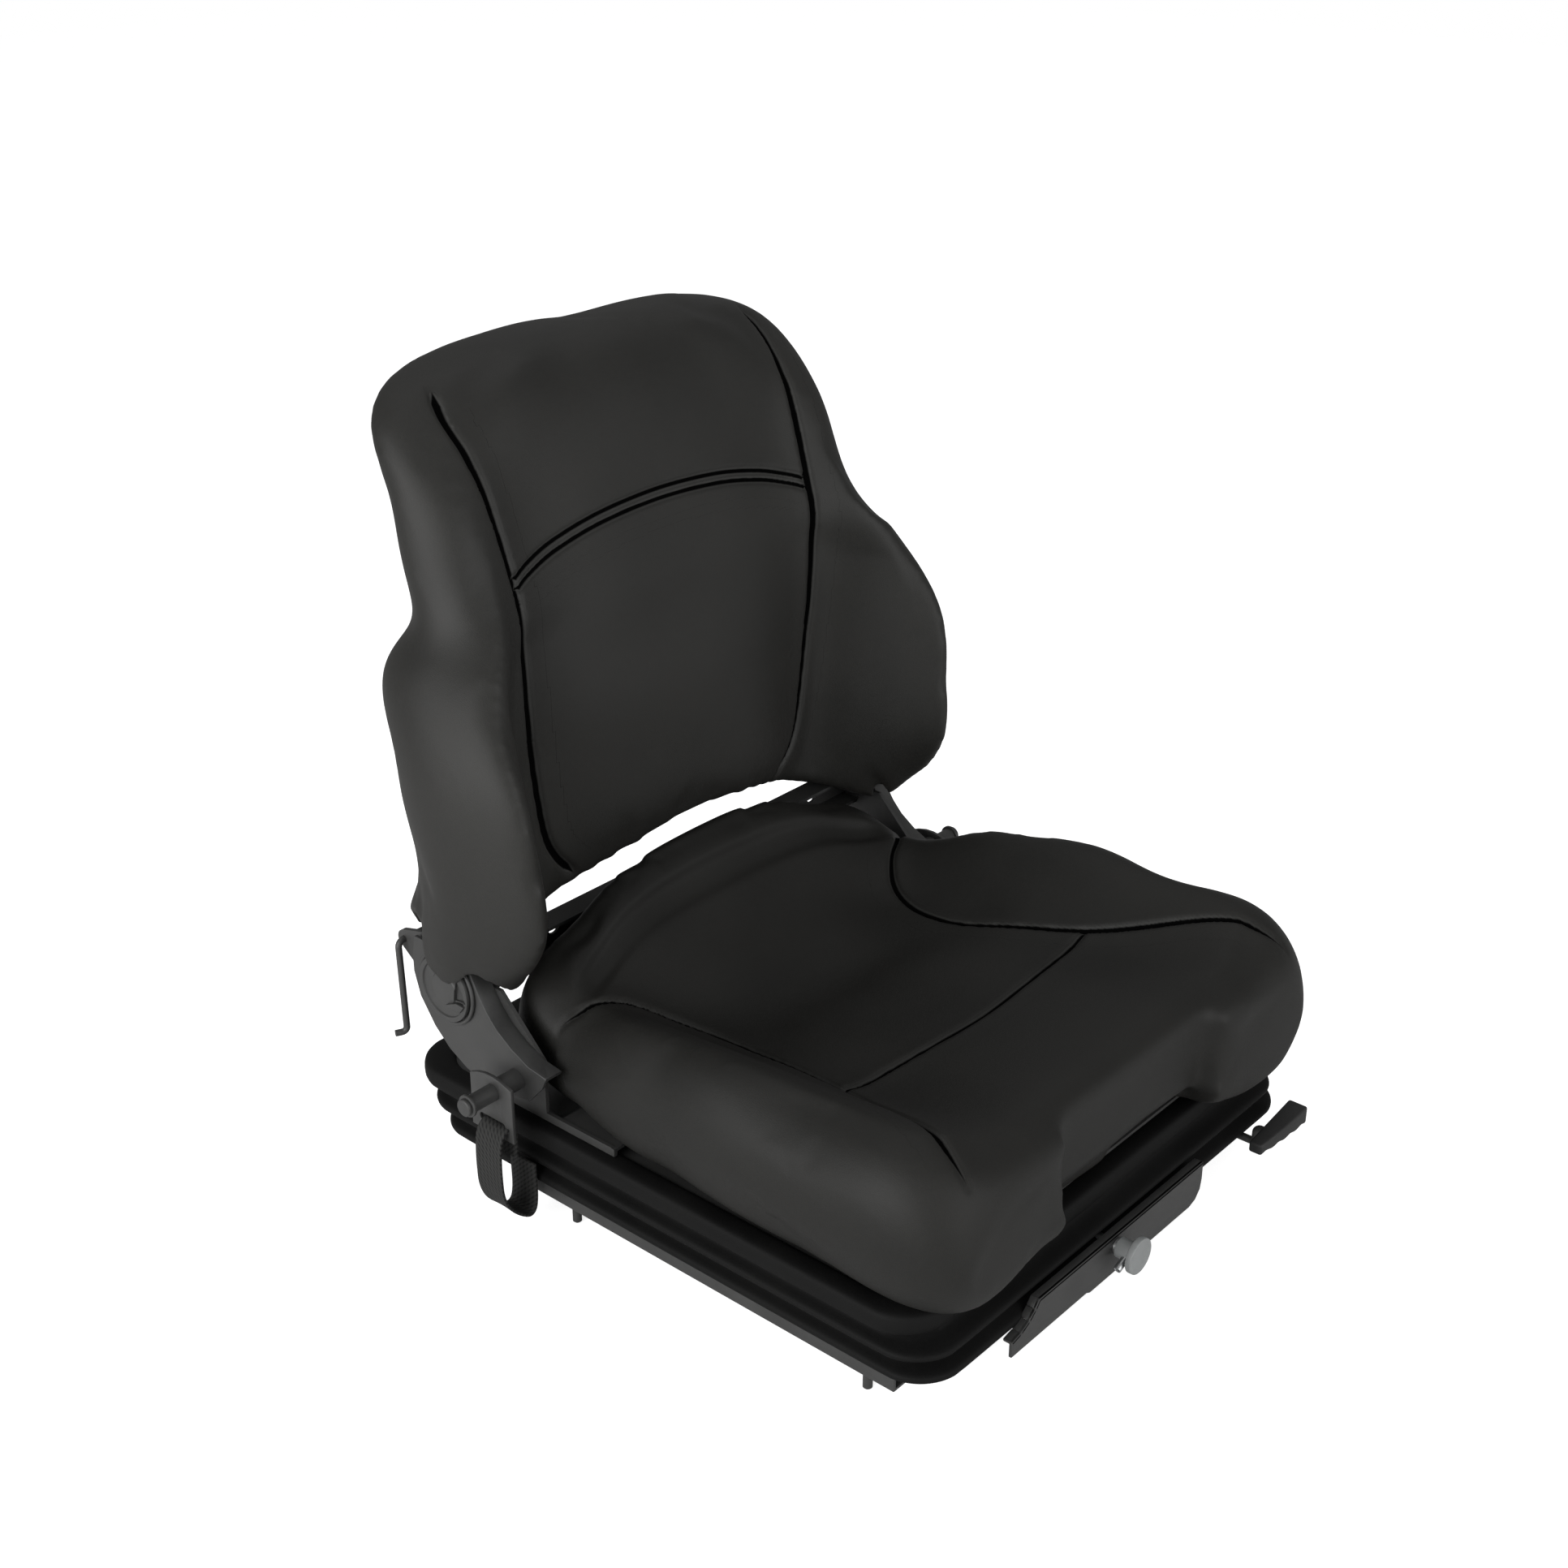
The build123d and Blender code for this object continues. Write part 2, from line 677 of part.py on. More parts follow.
def hoop(foot_z, radius):
    """Tube bent into a hoop, from foot_z up one side, across and down the other."""
    foot_x = arm_outer - back_arm_sheet - tube_radius
    knee_z = tube_low_z + 30
    path = FilletPolyline(
        (-foot_x, tube_low_y, foot_z), (-foot_x, tube_low_y, knee_z),
        (-tube_x, tube_high_y, tube_high_z), (tube_x, tube_high_y, tube_high_z),
        (foot_x, tube_low_y, knee_z), (foot_x, tube_low_y, foot_z),
        radius=[30, tube_bend, tube_bend, 30],
    )
    section = Plane(path @ 0, z_dir=path % 0) * Circle(radius)
    return sweep(section, path=path)


def make_back_frame():
    """Tube hoop inside the back, welded to both recliner arms."""
    return hoop(tube_low_z - 12, tube_radius)


def make_release_bar():
    """Wire bar across both arms, with a hanging handle on the right-hand side."""
    end = arm_outer + 4
    path = FilletPolyline(
        (end, release_y, release_z), (-end - 2, release_y, release_z),
        (-end - 2, release_y - 2, release_low),
        (-end - 2 - release_tail, release_y + 2, release_low),
        radius=[5, 4],
    )
    section = Plane(path @ 0, z_dir=path % 0) * Circle(release_radius)
    return sweep(section, path=path)


def make_anchor_plate():
    """Belt anchor: a plate with a square back corner, a rounded top and a slot."""
    face = make_face([
        Line((anchor_front, anchor_low), (anchor_rear, anchor_low)),
        Line((anchor_rear, anchor_low), (anchor_rear, anchor_high)),
        ThreePointArc((anchor_rear, anchor_high), (182, 112), (anchor_front, 98)),
        Line((anchor_front, 98), (anchor_front, anchor_low)),
    ])
    slot = ((strap_front + strap_rear) / 2, strap_slot_z)
    face -= Pos(*slot) * Rectangle(strap_rear - strap_front + 2, strap_slot)
    plate = side_sheet(face, (-anchor_x, -anchor_x + anchor_sheet))
    plate -= rod_x((-anchor_x - 1, -anchor_x + anchor_sheet + 1), anchor_y, anchor_z, bolt_radius + fit)
    return plate


def hexagon(x, radius):
    face = Pos(anchor_y, anchor_z) * RegularPolygon(radius, 6)
    return side_sheet(face, x)


def make_bolts():
    nut_end = -bracket_outer + bracket_sheet + nut_height
    bolt = rod_x((-bolt_end + bolt_head_height, nut_end), anchor_y, anchor_z, bolt_radius)
    bolt += hexagon((-bolt_end, -bolt_end + bolt_head_height), bolt_head)
    return pair(bolt)


def make_nuts():
    start = -bracket_outer + bracket_sheet
    nut = hexagon((start, start + nut_height), bolt_head)
    nut -= rod_x((start - 1, start + nut_height + 1), anchor_y, anchor_z, bolt_radius)
    return pair(nut)


def make_spacers():
    """Sleeve between the side plate and the anchor, and one under the bolt head."""
    inner = (-anchor_x + anchor_sheet, -recliner_outer)
    outer = (-bolt_end + bolt_head_height, -anchor_x)
    sleeves = []
    for ends, radius in ((inner, bolt_head), (outer, bolt_radius + 1.5)):
        sleeve = rod_x(ends, anchor_y, anchor_z, radius)
        sleeve -= rod_x((ends[0] - 1, ends[1] + 1), anchor_y, anchor_z, bolt_radius)
        sleeves.append(sleeve)
    return Compound(children=[s for sleeve in sleeves for s in pair(sleeve).solids()])


def make_strap():
    """Tether webbing: through the anchor's slot, down, under and up to the hook."""
    loose_x = anchor_x - 6.5
    over_x = anchor_x + 3.5
    path = FilletPolyline(
        (-loose_x, 48), (-loose_x, strap_slot_z), (-over_x, strap_slot_z), (-strap_outer, 57),
        (-strap_outer, strap_outer_low), (-strap_inner, strap_low), (-strap_inner, strap_top),
        radius=[2.5, 2.5, 4, 10, 10],
    )
    return front_sheet(trace(path, strap_sheet), (strap_front, strap_rear))


def make_lever():
    """Round rod with a locking tongue at its rear end, drawn clear of the rail."""
    path = FilletPolyline(
        (lever_x, lever_rear, lever_z), (lever_x, lever_riser, lever_z),
        (lever_x, lever_riser, grip_rod_z), (lever_x, grip_front + 5, grip_rod_z),
        radius=4,
    )
    section = Plane(path @ 0, z_dir=path % 0) * Circle(lever_radius)
    lever = sweep(section, path=path)
    tongue = (lever_x, rail_x - rail_width / 2 - 1)
    lever += block(tongue, (lever_rear - 16, lever_rear - 4), (lever_z - 3.5, lever_z - 0.5))
    return lever


def make_lever_clips():
    """Clips that hang the rod under the pan."""
    clips = []
    for y in (-150, -90):
        clip = block((lever_x - 7, lever_x + 7), (y - 4, y + 4), (lever_z - 5, pan_low))
        clip -= rod_y(lever_x, (y - 5, y + 5), lever_z, lever_radius + fit)
        clips.append(clip)
    return Compound(children=clips)


def make_grip():
    """Moulded finger grip: a wedge, higher at its outer end, with scallops below."""
    low = grip_low
    face = make_face([
        Line((grip_low_x, low), (grip_low_x, low + grip_inner_height)),
        Line((grip_low_x, low + grip_inner_height), (grip_high_x, low + grip_outer_height)),
        Line((grip_high_x, low + grip_outer_height), (grip_high_x, low)),
        Line((grip_high_x, low), (grip_low_x, low)),
    ])
    grip = front_sheet(face, (grip_front, grip_rear))
    grip = fillet(grip.edges().filter_by(Axis.Y), 3.5)
    length = grip_high_x - grip_low_x
    for share in (0.3, 0.52, 0.74):
        grip -= rod_y(grip_low_x + share * length, (grip_front - 1, grip_rear + 1), low - 5, 6)
    return grip - rod_y(lever_x, (grip_front + 5, grip_rear + 1), grip_rod_z, lever_radius)


def seat_section(y, half, bolster, seam, centre, low):
    """Closed outline across the seat at y: half width and the heights of the top."""
    side_z = (low + bolster) / 2 - 4
    slope_z = bolster - (bolster - seam) * 0.4
    inner_z = centre + (seam - centre) * 0.3
    right = [
        (half * 0.55, low), (half - 16, low + 4), (half, side_z), (half - 8, bolster - 18),
        (half - 32, bolster), (half - 62, slope_z), (half - 95, seam), (half * 0.3, inner_z),
    ]
    left = [(-x, z) for x, z in reversed(right)]
    points = [(0, low), *right, (0, centre), *left]
    outline = make_face(Spline(points, periodic=True))
    return Plane((0, y, 0), x_dir=(1, 0, 0), z_dir=(0, -1, 0)) * outline


def make_seat_cushion():
    """Seat cushion: side bolsters, a hollow for the sitter and a raised rear roll."""
    recess_half = 95      # under the front roll, between the two front corners
    corner_x = 204.5      # the rear corners are cut back to pass inside the recliners
    corner_y = 161.5
    sections = [
        seat_section(-204, 200, 130, 136, 138, 92),
        seat_section(-197, 219, 158, 154, 154, 70),
        seat_section(-176, 231, 172, 159, 156, 66),
        seat_section(-120, 238, 178, 151, 148, 66),
        seat_section(-40, 238, 176, 138, 131, 66),
        seat_section(50, 232, 166, 123, 113, 66),
        seat_section(110, 225, 150, 118, 114, 66),
        seat_section(160, 213, 140, 137, 138, 66),
        seat_section(190, 208, 153, 168, 169, 68),
        seat_section(211, 200, 162, 184, 195, 74),
        seat_section(220, 184, 159, 183, 195, 88),
    ]
    cushion = loft(sections)
    hollow = bracket_outer + gap + 1
    cushion -= block((-hollow, hollow), (-210, 230), (40, seat_bottom))
    cushion -= block((-recess_half, recess_half), (-210, -188), (40, 152))
    cushion -= block((-recess_half, recess_half), (-210, -172), (40, 90))
    for side in (-1, 1):
        corner = sorted((side * corner_x, side * 260))
        cushion -= block(corner, (corner_y, 230), (40, 260))
    return cushion


def back_section(z, half, nose, seam, centre, rear):
    """Closed outline of the back at height z: half width and depths along Y."""
    depth = rear - nose
    slope_y = nose + (seam - nose) * 0.55
    inner_y = centre + (seam - centre) * 0.45
    right = [
        (half * 0.55, rear), (half - 22, rear - depth * 0.12), (half, nose + depth * 0.58),
        (half - 4, nose + depth * 0.22), (half - 24, nose), (half - 50, slope_y),
        (half * 0.66, seam), (half * 0.38, inner_y),
    ]
    left = [(-x, y) for x, y in reversed(right)]
    points = [(0, rear + 2), *right, (0, centre), *left]
    return Pos(0, 0, z) * make_face(Spline(points, periodic=True))


def make_back_cushion():
    """Back cushion: wings that reach round the recliners, and a narrower top."""
    wing_inner = 200      # the wings leave a round room for each recliner
    wing_outer = 237.5
    recliner_room = 53
    sections = [
        back_section(140, 212, 204, 232, 232, 262),
        back_section(150, 236, 190, 234, 232, 285),
        back_section(185, 244, 160, 236, 222, 308),
        back_section(225, 245, 144, 236, 214, 300),
        back_section(265, 247, 146, 235, 216, 303),
        back_section(300, 249, 150, 234, 218, 306),
        back_section(350, 246, 171, 232, 224, 315),
        back_section(395, 229, 198, 234, 231, 310),
        back_section(445, 214, 233, 245, 244, 311),
        back_section(490, 210, 252, 260, 257, 325),
        back_section(522, 205, 274, 271, 267, 342),
        back_section(546, 192, 294, 283, 279, 357),
        back_section(560, 168, 304, 294, 290, 364),
        back_section(569, 128, 314, 306, 303, 362),
        back_section(573, 84, 326, 320, 318, 352),
    ]
    back = loft(sections)
    arch = Spline([
        (-205, 147), (-150, 170), (-90, 191), (0, 206), (90, 191), (150, 170), (205, 147),
    ])
    under = make_face([arch, Polyline([(205, 147), (205, 100), (-205, 100), (-205, 147)])])
    back -= front_sheet(under, (100, 400))
    brace_gap = 2 * gap
    brace_room = (recline_y - brace_half_y - brace_gap, 400)
    back -= block((-205, 205), brace_room, (100, brace_high + brace_gap))
    bar_room = (release_y - 8, 400)
    back -= block((-wing_outer, wing_outer), bar_room, (100, release_z + 8))
    for x in ((-wing_outer, -wing_inner), (wing_inner, wing_outer)):
        back -= rod_x(x, recline_y, recline_z, recliner_room)
    room = side_sheet(back_arm_face(1), (-arm_outer - gap, -arm_outer + back_arm_sheet + gap))
    back -= room + other_side(room)
    return back - hoop(tube_low_z - 15, tube_radius + gap)


rail = make_rail()
runner = make_runner()
bracket = make_side_bracket()
recliner_plate = make_recliner_plate()
disc = make_recliner_disc()
spiral = make_spiral_spring()
back_arm = make_back_arm()
anchor = make_anchor_plate()
strap = make_strap()
outer_glide_x = outer_arm_x + arm_sheet + 1
inner_glide_x = inner_arm_x + arm_sheet + 1
lower_ear_x = outer_arm_x + arm_sheet + 1.5
upper_ear_x = inner_arm_x + arm_sheet + 1.5

nodes = {
    "floor_rail_right": other_side(rail),
    "floor_rail_left": rail,
    "mounting_studs": make_studs(),
    "slide_runner_right": other_side(runner),
    "slide_runner_left": runner,
    "base_pan": make_pan(),
    "front_plate": make_front_plate(),
    "bump_stops": make_bump_stops(),
    "lower_tracks": pair(track_profile(inner_glide_x, lower_axis_z, pan_top)),
    "lower_pivot_ears": pair(make_ears(lower_ear_x, lower_axis_z, pan_top)),
    "damper_lower_clevis": Compound(children=make_clevis(damper_low_y, damper_low_z, pan_top)),
    "bellows": make_bellows(),
    "lever_clips": make_lever_clips(),
    "slide_lever": make_lever(),
    "lever_grip": make_grip(),
    "weight_knob": make_knob(),
    "adjuster_spindle": make_spindle(),
    "spring_bar": make_spring_bar(),
    "tension_springs": pair(make_spring()),
    "outer_arms": make_outer_arms(),
    "inner_arms": make_inner_arms(),
    "middle_pins": make_middle_pins(),
    "lower_glides": make_glides(inner_glide_x, lower_axis_z),
    "upper_glides": make_glides(outer_glide_x, upper_axis_z),
    "damper_body": make_damper_body(),
    "damper_rod": make_damper_rod(),
    "top_plate": make_top_plate(),
    "upper_tracks": pair(track_profile(outer_glide_x, upper_axis_z, plate_low)),
    "upper_pivot_ears": pair(make_ears(upper_ear_x, upper_axis_z, plate_low)),
    "damper_upper_clevis": Compound(children=make_clevis(damper_high_y, damper_high_z, plate_low)),
    "seat_bars": make_seat_bars(),
    "seat_pan": make_seat_pan(),
    "seat_cushion": make_seat_cushion(),
    "side_bracket_right": bracket,
    "side_bracket_left": other_side(bracket),
    "recliner_plate_right": recliner_plate,
    "recliner_plate_left": other_side(recliner_plate),
    "recliner_disc_right": disc,
    "recliner_disc_left": other_side(disc),
    "spiral_spring_right": spiral,
    "spiral_spring_left": other_side(spiral),
    "belt_anchor_right": anchor,
    "belt_anchor_left": other_side(anchor),
    "belt_bolts": make_bolts(),
    "belt_nuts": make_nuts(),
    "belt_spacers": make_spacers(),
    "tether_strap_right": strap,
    "tether_strap_left": other_side(strap),
    "back_arm_right": back_arm,
    "back_arm_left": other_side(back_arm),
    "cross_brace": make_cross_brace(),
    "back_frame": make_back_frame(),
    "back_cushion": make_back_cushion(),
    "release_bar": make_release_bar(),
}

os.makedirs("parts", exist_ok=True)
for name, shape in nodes.items():
    export_step(Pos(0, -stud_middle, 0) * shape, f"parts/{name}.step")
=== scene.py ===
import bpy, bmesh, json, math
import numpy as np
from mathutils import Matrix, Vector


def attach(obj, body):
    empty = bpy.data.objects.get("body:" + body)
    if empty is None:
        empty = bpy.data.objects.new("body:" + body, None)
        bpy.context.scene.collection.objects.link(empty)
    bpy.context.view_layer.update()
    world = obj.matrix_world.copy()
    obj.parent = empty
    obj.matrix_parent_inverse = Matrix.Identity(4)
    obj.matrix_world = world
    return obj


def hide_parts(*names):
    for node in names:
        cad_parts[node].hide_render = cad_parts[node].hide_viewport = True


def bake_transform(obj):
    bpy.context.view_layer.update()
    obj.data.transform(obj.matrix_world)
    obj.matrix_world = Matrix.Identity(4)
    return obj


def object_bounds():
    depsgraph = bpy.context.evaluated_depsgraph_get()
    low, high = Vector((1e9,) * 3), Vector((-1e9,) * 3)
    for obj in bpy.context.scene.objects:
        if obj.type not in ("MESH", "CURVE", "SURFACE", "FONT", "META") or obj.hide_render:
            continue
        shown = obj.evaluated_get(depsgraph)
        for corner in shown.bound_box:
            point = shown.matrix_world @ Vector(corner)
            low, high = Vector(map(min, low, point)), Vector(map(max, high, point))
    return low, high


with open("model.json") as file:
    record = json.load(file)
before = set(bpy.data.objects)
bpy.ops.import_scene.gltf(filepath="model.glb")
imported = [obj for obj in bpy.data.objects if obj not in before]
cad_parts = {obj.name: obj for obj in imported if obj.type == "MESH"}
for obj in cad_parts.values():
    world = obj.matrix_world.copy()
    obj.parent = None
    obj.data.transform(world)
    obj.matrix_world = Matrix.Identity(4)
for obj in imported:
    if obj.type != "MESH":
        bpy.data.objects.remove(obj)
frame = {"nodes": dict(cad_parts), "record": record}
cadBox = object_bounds()
nodes = frame["nodes"]
shiftY = -0.0105   # the photograph's measures were taken from the rails' middle

# Camera and light
view = {"place": (-1.090, -0.8216 + shiftY, 0.9475), "azimuth": -49.0, "elevation": 25.4, "lens": 50,
        "sensor": 36}
camData = bpy.data.cameras.new("camera")
camData.lens = view["lens"]
camData.sensor_width = view["sensor"]
camera = bpy.data.objects.new("camera", camData)
camera.location = view["place"]
camera.rotation_euler = (math.radians(90 - view["elevation"]), 0, math.radians(view["azimuth"]))
bpy.context.collection.objects.link(camera)
bpy.context.scene.camera = camera

light = {
    "side": {"place": (-2.7, 0.2, 0.8), "aim": (0, 0, 0.25), "size": 2.6, "power": 96},
    "front": {"place": (0.1, -2.9, 0.8), "aim": (0, 0, 0.15), "size": 2.8, "power": 60},
    "above": {"place": (0.3, 0.5, 2.8), "aim": (0, 0, 0.3), "size": 2.8, "power": 14},
    "world": 0.30,
}


def addLamp(name, spec):
    data = bpy.data.lights.new(name, "AREA")
    data.shape = "SQUARE"
    data.size = spec["size"]
    data.energy = spec["power"]
    lamp = bpy.data.objects.new(name, data)
    lamp.location = spec["place"]
    ray = Vector(spec["aim"]) - Vector(spec["place"])
    lamp.rotation_euler = ray.to_track_quat("-Z", "Y").to_euler()
    bpy.context.collection.objects.link(lamp)


for key in ("side", "front", "above"):
    addLamp(key + "Lamp", light[key])

bpy.context.scene.view_settings.view_transform = "Standard"
world = bpy.data.worlds.new("studio")
bpy.context.scene.world = world
world.use_nodes = True
tree = world.node_tree
tree.nodes.clear()
path = tree.nodes.new("ShaderNodeLightPath")
soft = tree.nodes.new("ShaderNodeBackground")
soft.inputs["Strength"].default_value = light["world"]
white = tree.nodes.new("ShaderNodeBackground")
white.inputs["Color"].default_value = (1, 1, 1, 1)
white.inputs["Strength"].default_value = 1
mixer = tree.nodes.new("ShaderNodeMixShader")
out = tree.nodes.new("ShaderNodeOutputWorld")
tree.links.new(path.outputs["Is Camera Ray"], mixer.inputs["Fac"])
tree.links.new(soft.outputs[0], mixer.inputs[1])
tree.links.new(white.outputs[0], mixer.inputs[2])
tree.links.new(mixer.outputs[0], out.inputs["Surface"])
print("camera and light ready")


# Material helpers
def newMaterial(name):
    mat = bpy.data.materials.new(name)
    mat.use_nodes = True
    tree = mat.node_tree
    return mat, tree, tree.nodes["Principled BSDF"]


def newGroup(name, inputs, outputs):
    group = bpy.data.node_groups.new(name, "ShaderNodeTree")
    for label, kind, value in inputs:
        item = group.interface.new_socket(label, in_out="INPUT", socket_type=kind)
        if value is not None:
            item.default_value = value
    for label, kind in outputs:
        group.interface.new_socket(label, in_out="OUTPUT", socket_type=kind)
    start = group.nodes.new("NodeGroupInput")
    end = group.nodes.new("NodeGroupOutput")
    return group, start, end


def useGroup(tree, group, values):
    node = tree.nodes.new("ShaderNodeGroup")
    node.node_tree = group
    for label, value in values.items():
        node.inputs[label].default_value = value
    return node


def objectCoords(tree):
    return tree.nodes.new("ShaderNodeTexCoord").outputs["Object"]


# uneven tone: a large soft patch pattern and a small speckle
toneGroup, start, end = newGroup(
    "unevenTone",
    [("Vector", "NodeSocketVector", None), ("Dark", "NodeSocketColor", (0.02, 0.02, 0.02, 1)),
     ("Light", "NodeSocketColor", (0.03, 0.03, 0.03, 1)), ("Scale", "NodeSocketFloat", 12.0),
     ("Rough", "NodeSocketFloat", 0.5), ("RoughSpan", "NodeSocketFloat", 0.08)],
    [("Color", "NodeSocketColor"), ("Roughness", "NodeSocketFloat")])
patch = toneGroup.nodes.new("ShaderNodeTexNoise")
patch.inputs["Detail"].default_value = 4
fleck = toneGroup.nodes.new("ShaderNodeTexNoise")
fleck.inputs["Scale"].default_value = 420
fleck.inputs["Detail"].default_value = 2
blendTone = toneGroup.nodes.new("ShaderNodeMix")
blendTone.data_type = "RGBA"
addUp = toneGroup.nodes.new("ShaderNodeMath")
addUp.operation = "MULTIPLY_ADD"
addUp.inputs[1].default_value = 0.35
span = toneGroup.nodes.new("ShaderNodeMapRange")
span.inputs["From Min"].default_value = 0.42
span.inputs["From Max"].default_value = 0.92
roughSum = toneGroup.nodes.new("ShaderNodeMath")
roughSum.operation = "MULTIPLY_ADD"
link = toneGroup.links.new
link(start.outputs["Vector"], patch.inputs["Vector"])
link(start.outputs["Scale"], patch.inputs["Scale"])
link(start.outputs["Vector"], fleck.inputs["Vector"])
link(fleck.outputs["Fac"], addUp.inputs[0])
link(patch.outputs["Fac"], addUp.inputs[2])
link(addUp.outputs[0], span.inputs["Value"])
link(span.outputs[0], blendTone.inputs["Factor"])
link(start.outputs["Dark"], blendTone.inputs["A"])
link(start.outputs["Light"], blendTone.inputs["B"])
link(span.outputs[0], roughSum.inputs[0])
link(start.outputs["RoughSpan"], roughSum.inputs[1])
link(start.outputs["Rough"], roughSum.inputs[2])
link(blendTone.outputs["Result"], end.inputs["Color"])
link(roughSum.outputs[0], end.inputs["Roughness"])

# fine pebbled grain, as a height
grainGroup, start, end = newGroup(
    "fineGrain",
    [("Vector", "NodeSocketVector", None), ("Scale", "NodeSocketFloat", 900.0),
     ("Wrinkle", "NodeSocketFloat", 0.3)],
    [("Height", "NodeSocketFloat")])
cells = grainGroup.nodes.new("ShaderNodeTexVoronoi")
cells.feature = "SMOOTH_F1"
waves = grainGroup.nodes.new("ShaderNodeTexNoise")
waves.inputs["Scale"].default_value = 38
waves.inputs["Detail"].default_value = 5
waves.inputs["Roughness"].default_value = 0.6
heightSum = grainGroup.nodes.new("ShaderNodeMath")
heightSum.operation = "MULTIPLY_ADD"
link = grainGroup.links.new
link(start.outputs["Vector"], cells.inputs["Vector"])
link(start.outputs["Scale"], cells.inputs["Scale"])
link(start.outputs["Vector"], waves.inputs["Vector"])
link(waves.outputs["Fac"], heightSum.inputs[0])
link(start.outputs["Wrinkle"], heightSum.inputs[1])
link(cells.outputs["Distance"], heightSum.inputs[2])
link(heightSum.outputs[0], end.inputs["Height"])


def surface(name, dark, lightTone, scale, rough, roughSpan, grainScale, wrinkle, bump, bumpDepth,
            metallic=0.0, specular=0.5):
    mat, tree, shader = newMaterial(name)
    coords = objectCoords(tree)
    tone = useGroup(tree, toneGroup, {"Dark": (*dark, 1), "Light": (*lightTone, 1), "Scale": scale,
                                      "Rough": rough, "RoughSpan": roughSpan})
    grain = useGroup(tree, grainGroup, {"Scale": grainScale, "Wrinkle": wrinkle})
    bumpNode = tree.nodes.new("ShaderNodeBump")
    bumpNode.inputs["Strength"].default_value = bump
    bumpNode.inputs["Distance"].default_value = bumpDepth
    tree.links.new(coords, tone.inputs["Vector"])
    tree.links.new(coords, grain.inputs["Vector"])
    tree.links.new(grain.outputs["Height"], bumpNode.inputs["Height"])
    tree.links.new(bumpNode.outputs["Normal"], shader.inputs["Normal"])
    tree.links.new(tone.outputs["Color"], shader.inputs["Base Color"])
    tree.links.new(tone.outputs["Roughness"], shader.inputs["Roughness"])
    shader.inputs["Metallic"].default_value = metallic
    shader.inputs["Specular IOR Level"].default_value = specular
    return mat, tree, shader, tone, bumpNode


# a sewn channel's painted light: where it is painted dark as shade and where its edge gets a painted
# highlight, by the distance to the seam in mm
seamPaintedLight = {"shadeFrom": -0.15, "shadeTo": 0.45, "highlightOut": 0.7, "highlightSoft": 0.75, "highlightCore": 0.1,
            "least": 0.3}
seamGroup, start, end = newGroup(
    "seamShadeAndHighlight", [("Signed", "NodeSocketFloat", 20.0), ("Width", "NodeSocketFloat", 0.0)],
    [("Dark", "NodeSocketFloat"), ("EdgeHighlight", "NodeSocketFloat")])
link = seamGroup.links.new


def seamMath(operation, *values):
    node = seamGroup.nodes.new("ShaderNodeMath")
    node.operation = operation
    for socket, value in zip(node.inputs, values):
        if isinstance(value, (int, float)):
            socket.default_value = value
        else:
            link(value, socket)
    return node.outputs[0]


gap = seamMath("ABSOLUTE", start.outputs["Signed"])
inside = seamMath("SUBTRACT", start.outputs["Width"], gap)
# the painted shade fills the channel within its half width, and the painted highlight is a band just
# outside it
dark = seamGroup.nodes.new("ShaderNodeMapRange")
dark.inputs["From Min"].default_value = seamPaintedLight["shadeFrom"]
dark.inputs["From Max"].default_value = seamPaintedLight["shadeTo"]
link(inside, dark.inputs["Value"])
link(dark.outputs[0], end.inputs["Dark"])
rim = seamMath("ABSOLUTE", seamMath("ADD", inside, seamPaintedLight["highlightOut"]))
edgeHighlightMask = seamGroup.nodes.new("ShaderNodeMapRange")
edgeHighlightMask.inputs["From Min"].default_value = seamPaintedLight["highlightSoft"]
edgeHighlightMask.inputs["From Max"].default_value = seamPaintedLight["highlightCore"]
link(rim, edgeHighlightMask.inputs["Value"])
sewn = seamMath("GREATER_THAN", start.outputs["Width"], seamPaintedLight["least"])
link(seamMath("MULTIPLY", edgeHighlightMask.outputs[0], sewn), end.inputs["EdgeHighlight"])

# the darker seam colour is painted shade inside the sewn channels, and the lighter one is a painted
# highlight on the fold beside them
vinylLook = {"specular": 0.34, "channelShade": (0.0018, 0.0018, 0.0018, 1), "edge": (0.026, 0.026, 0.024, 1)}
vinyl, vinylTree, vinylShader, vinylTone = surface(
    "blackVinyl", dark=(0.0112, 0.0110, 0.0098), lightTone=(0.0175, 0.0170, 0.0152), scale=9, rough=0.52,
    roughSpan=0.08, grainScale=1500, wrinkle=0.9, bump=0.2, bumpDepth=0.0004,
    specular=vinylLook["specular"])[:4]
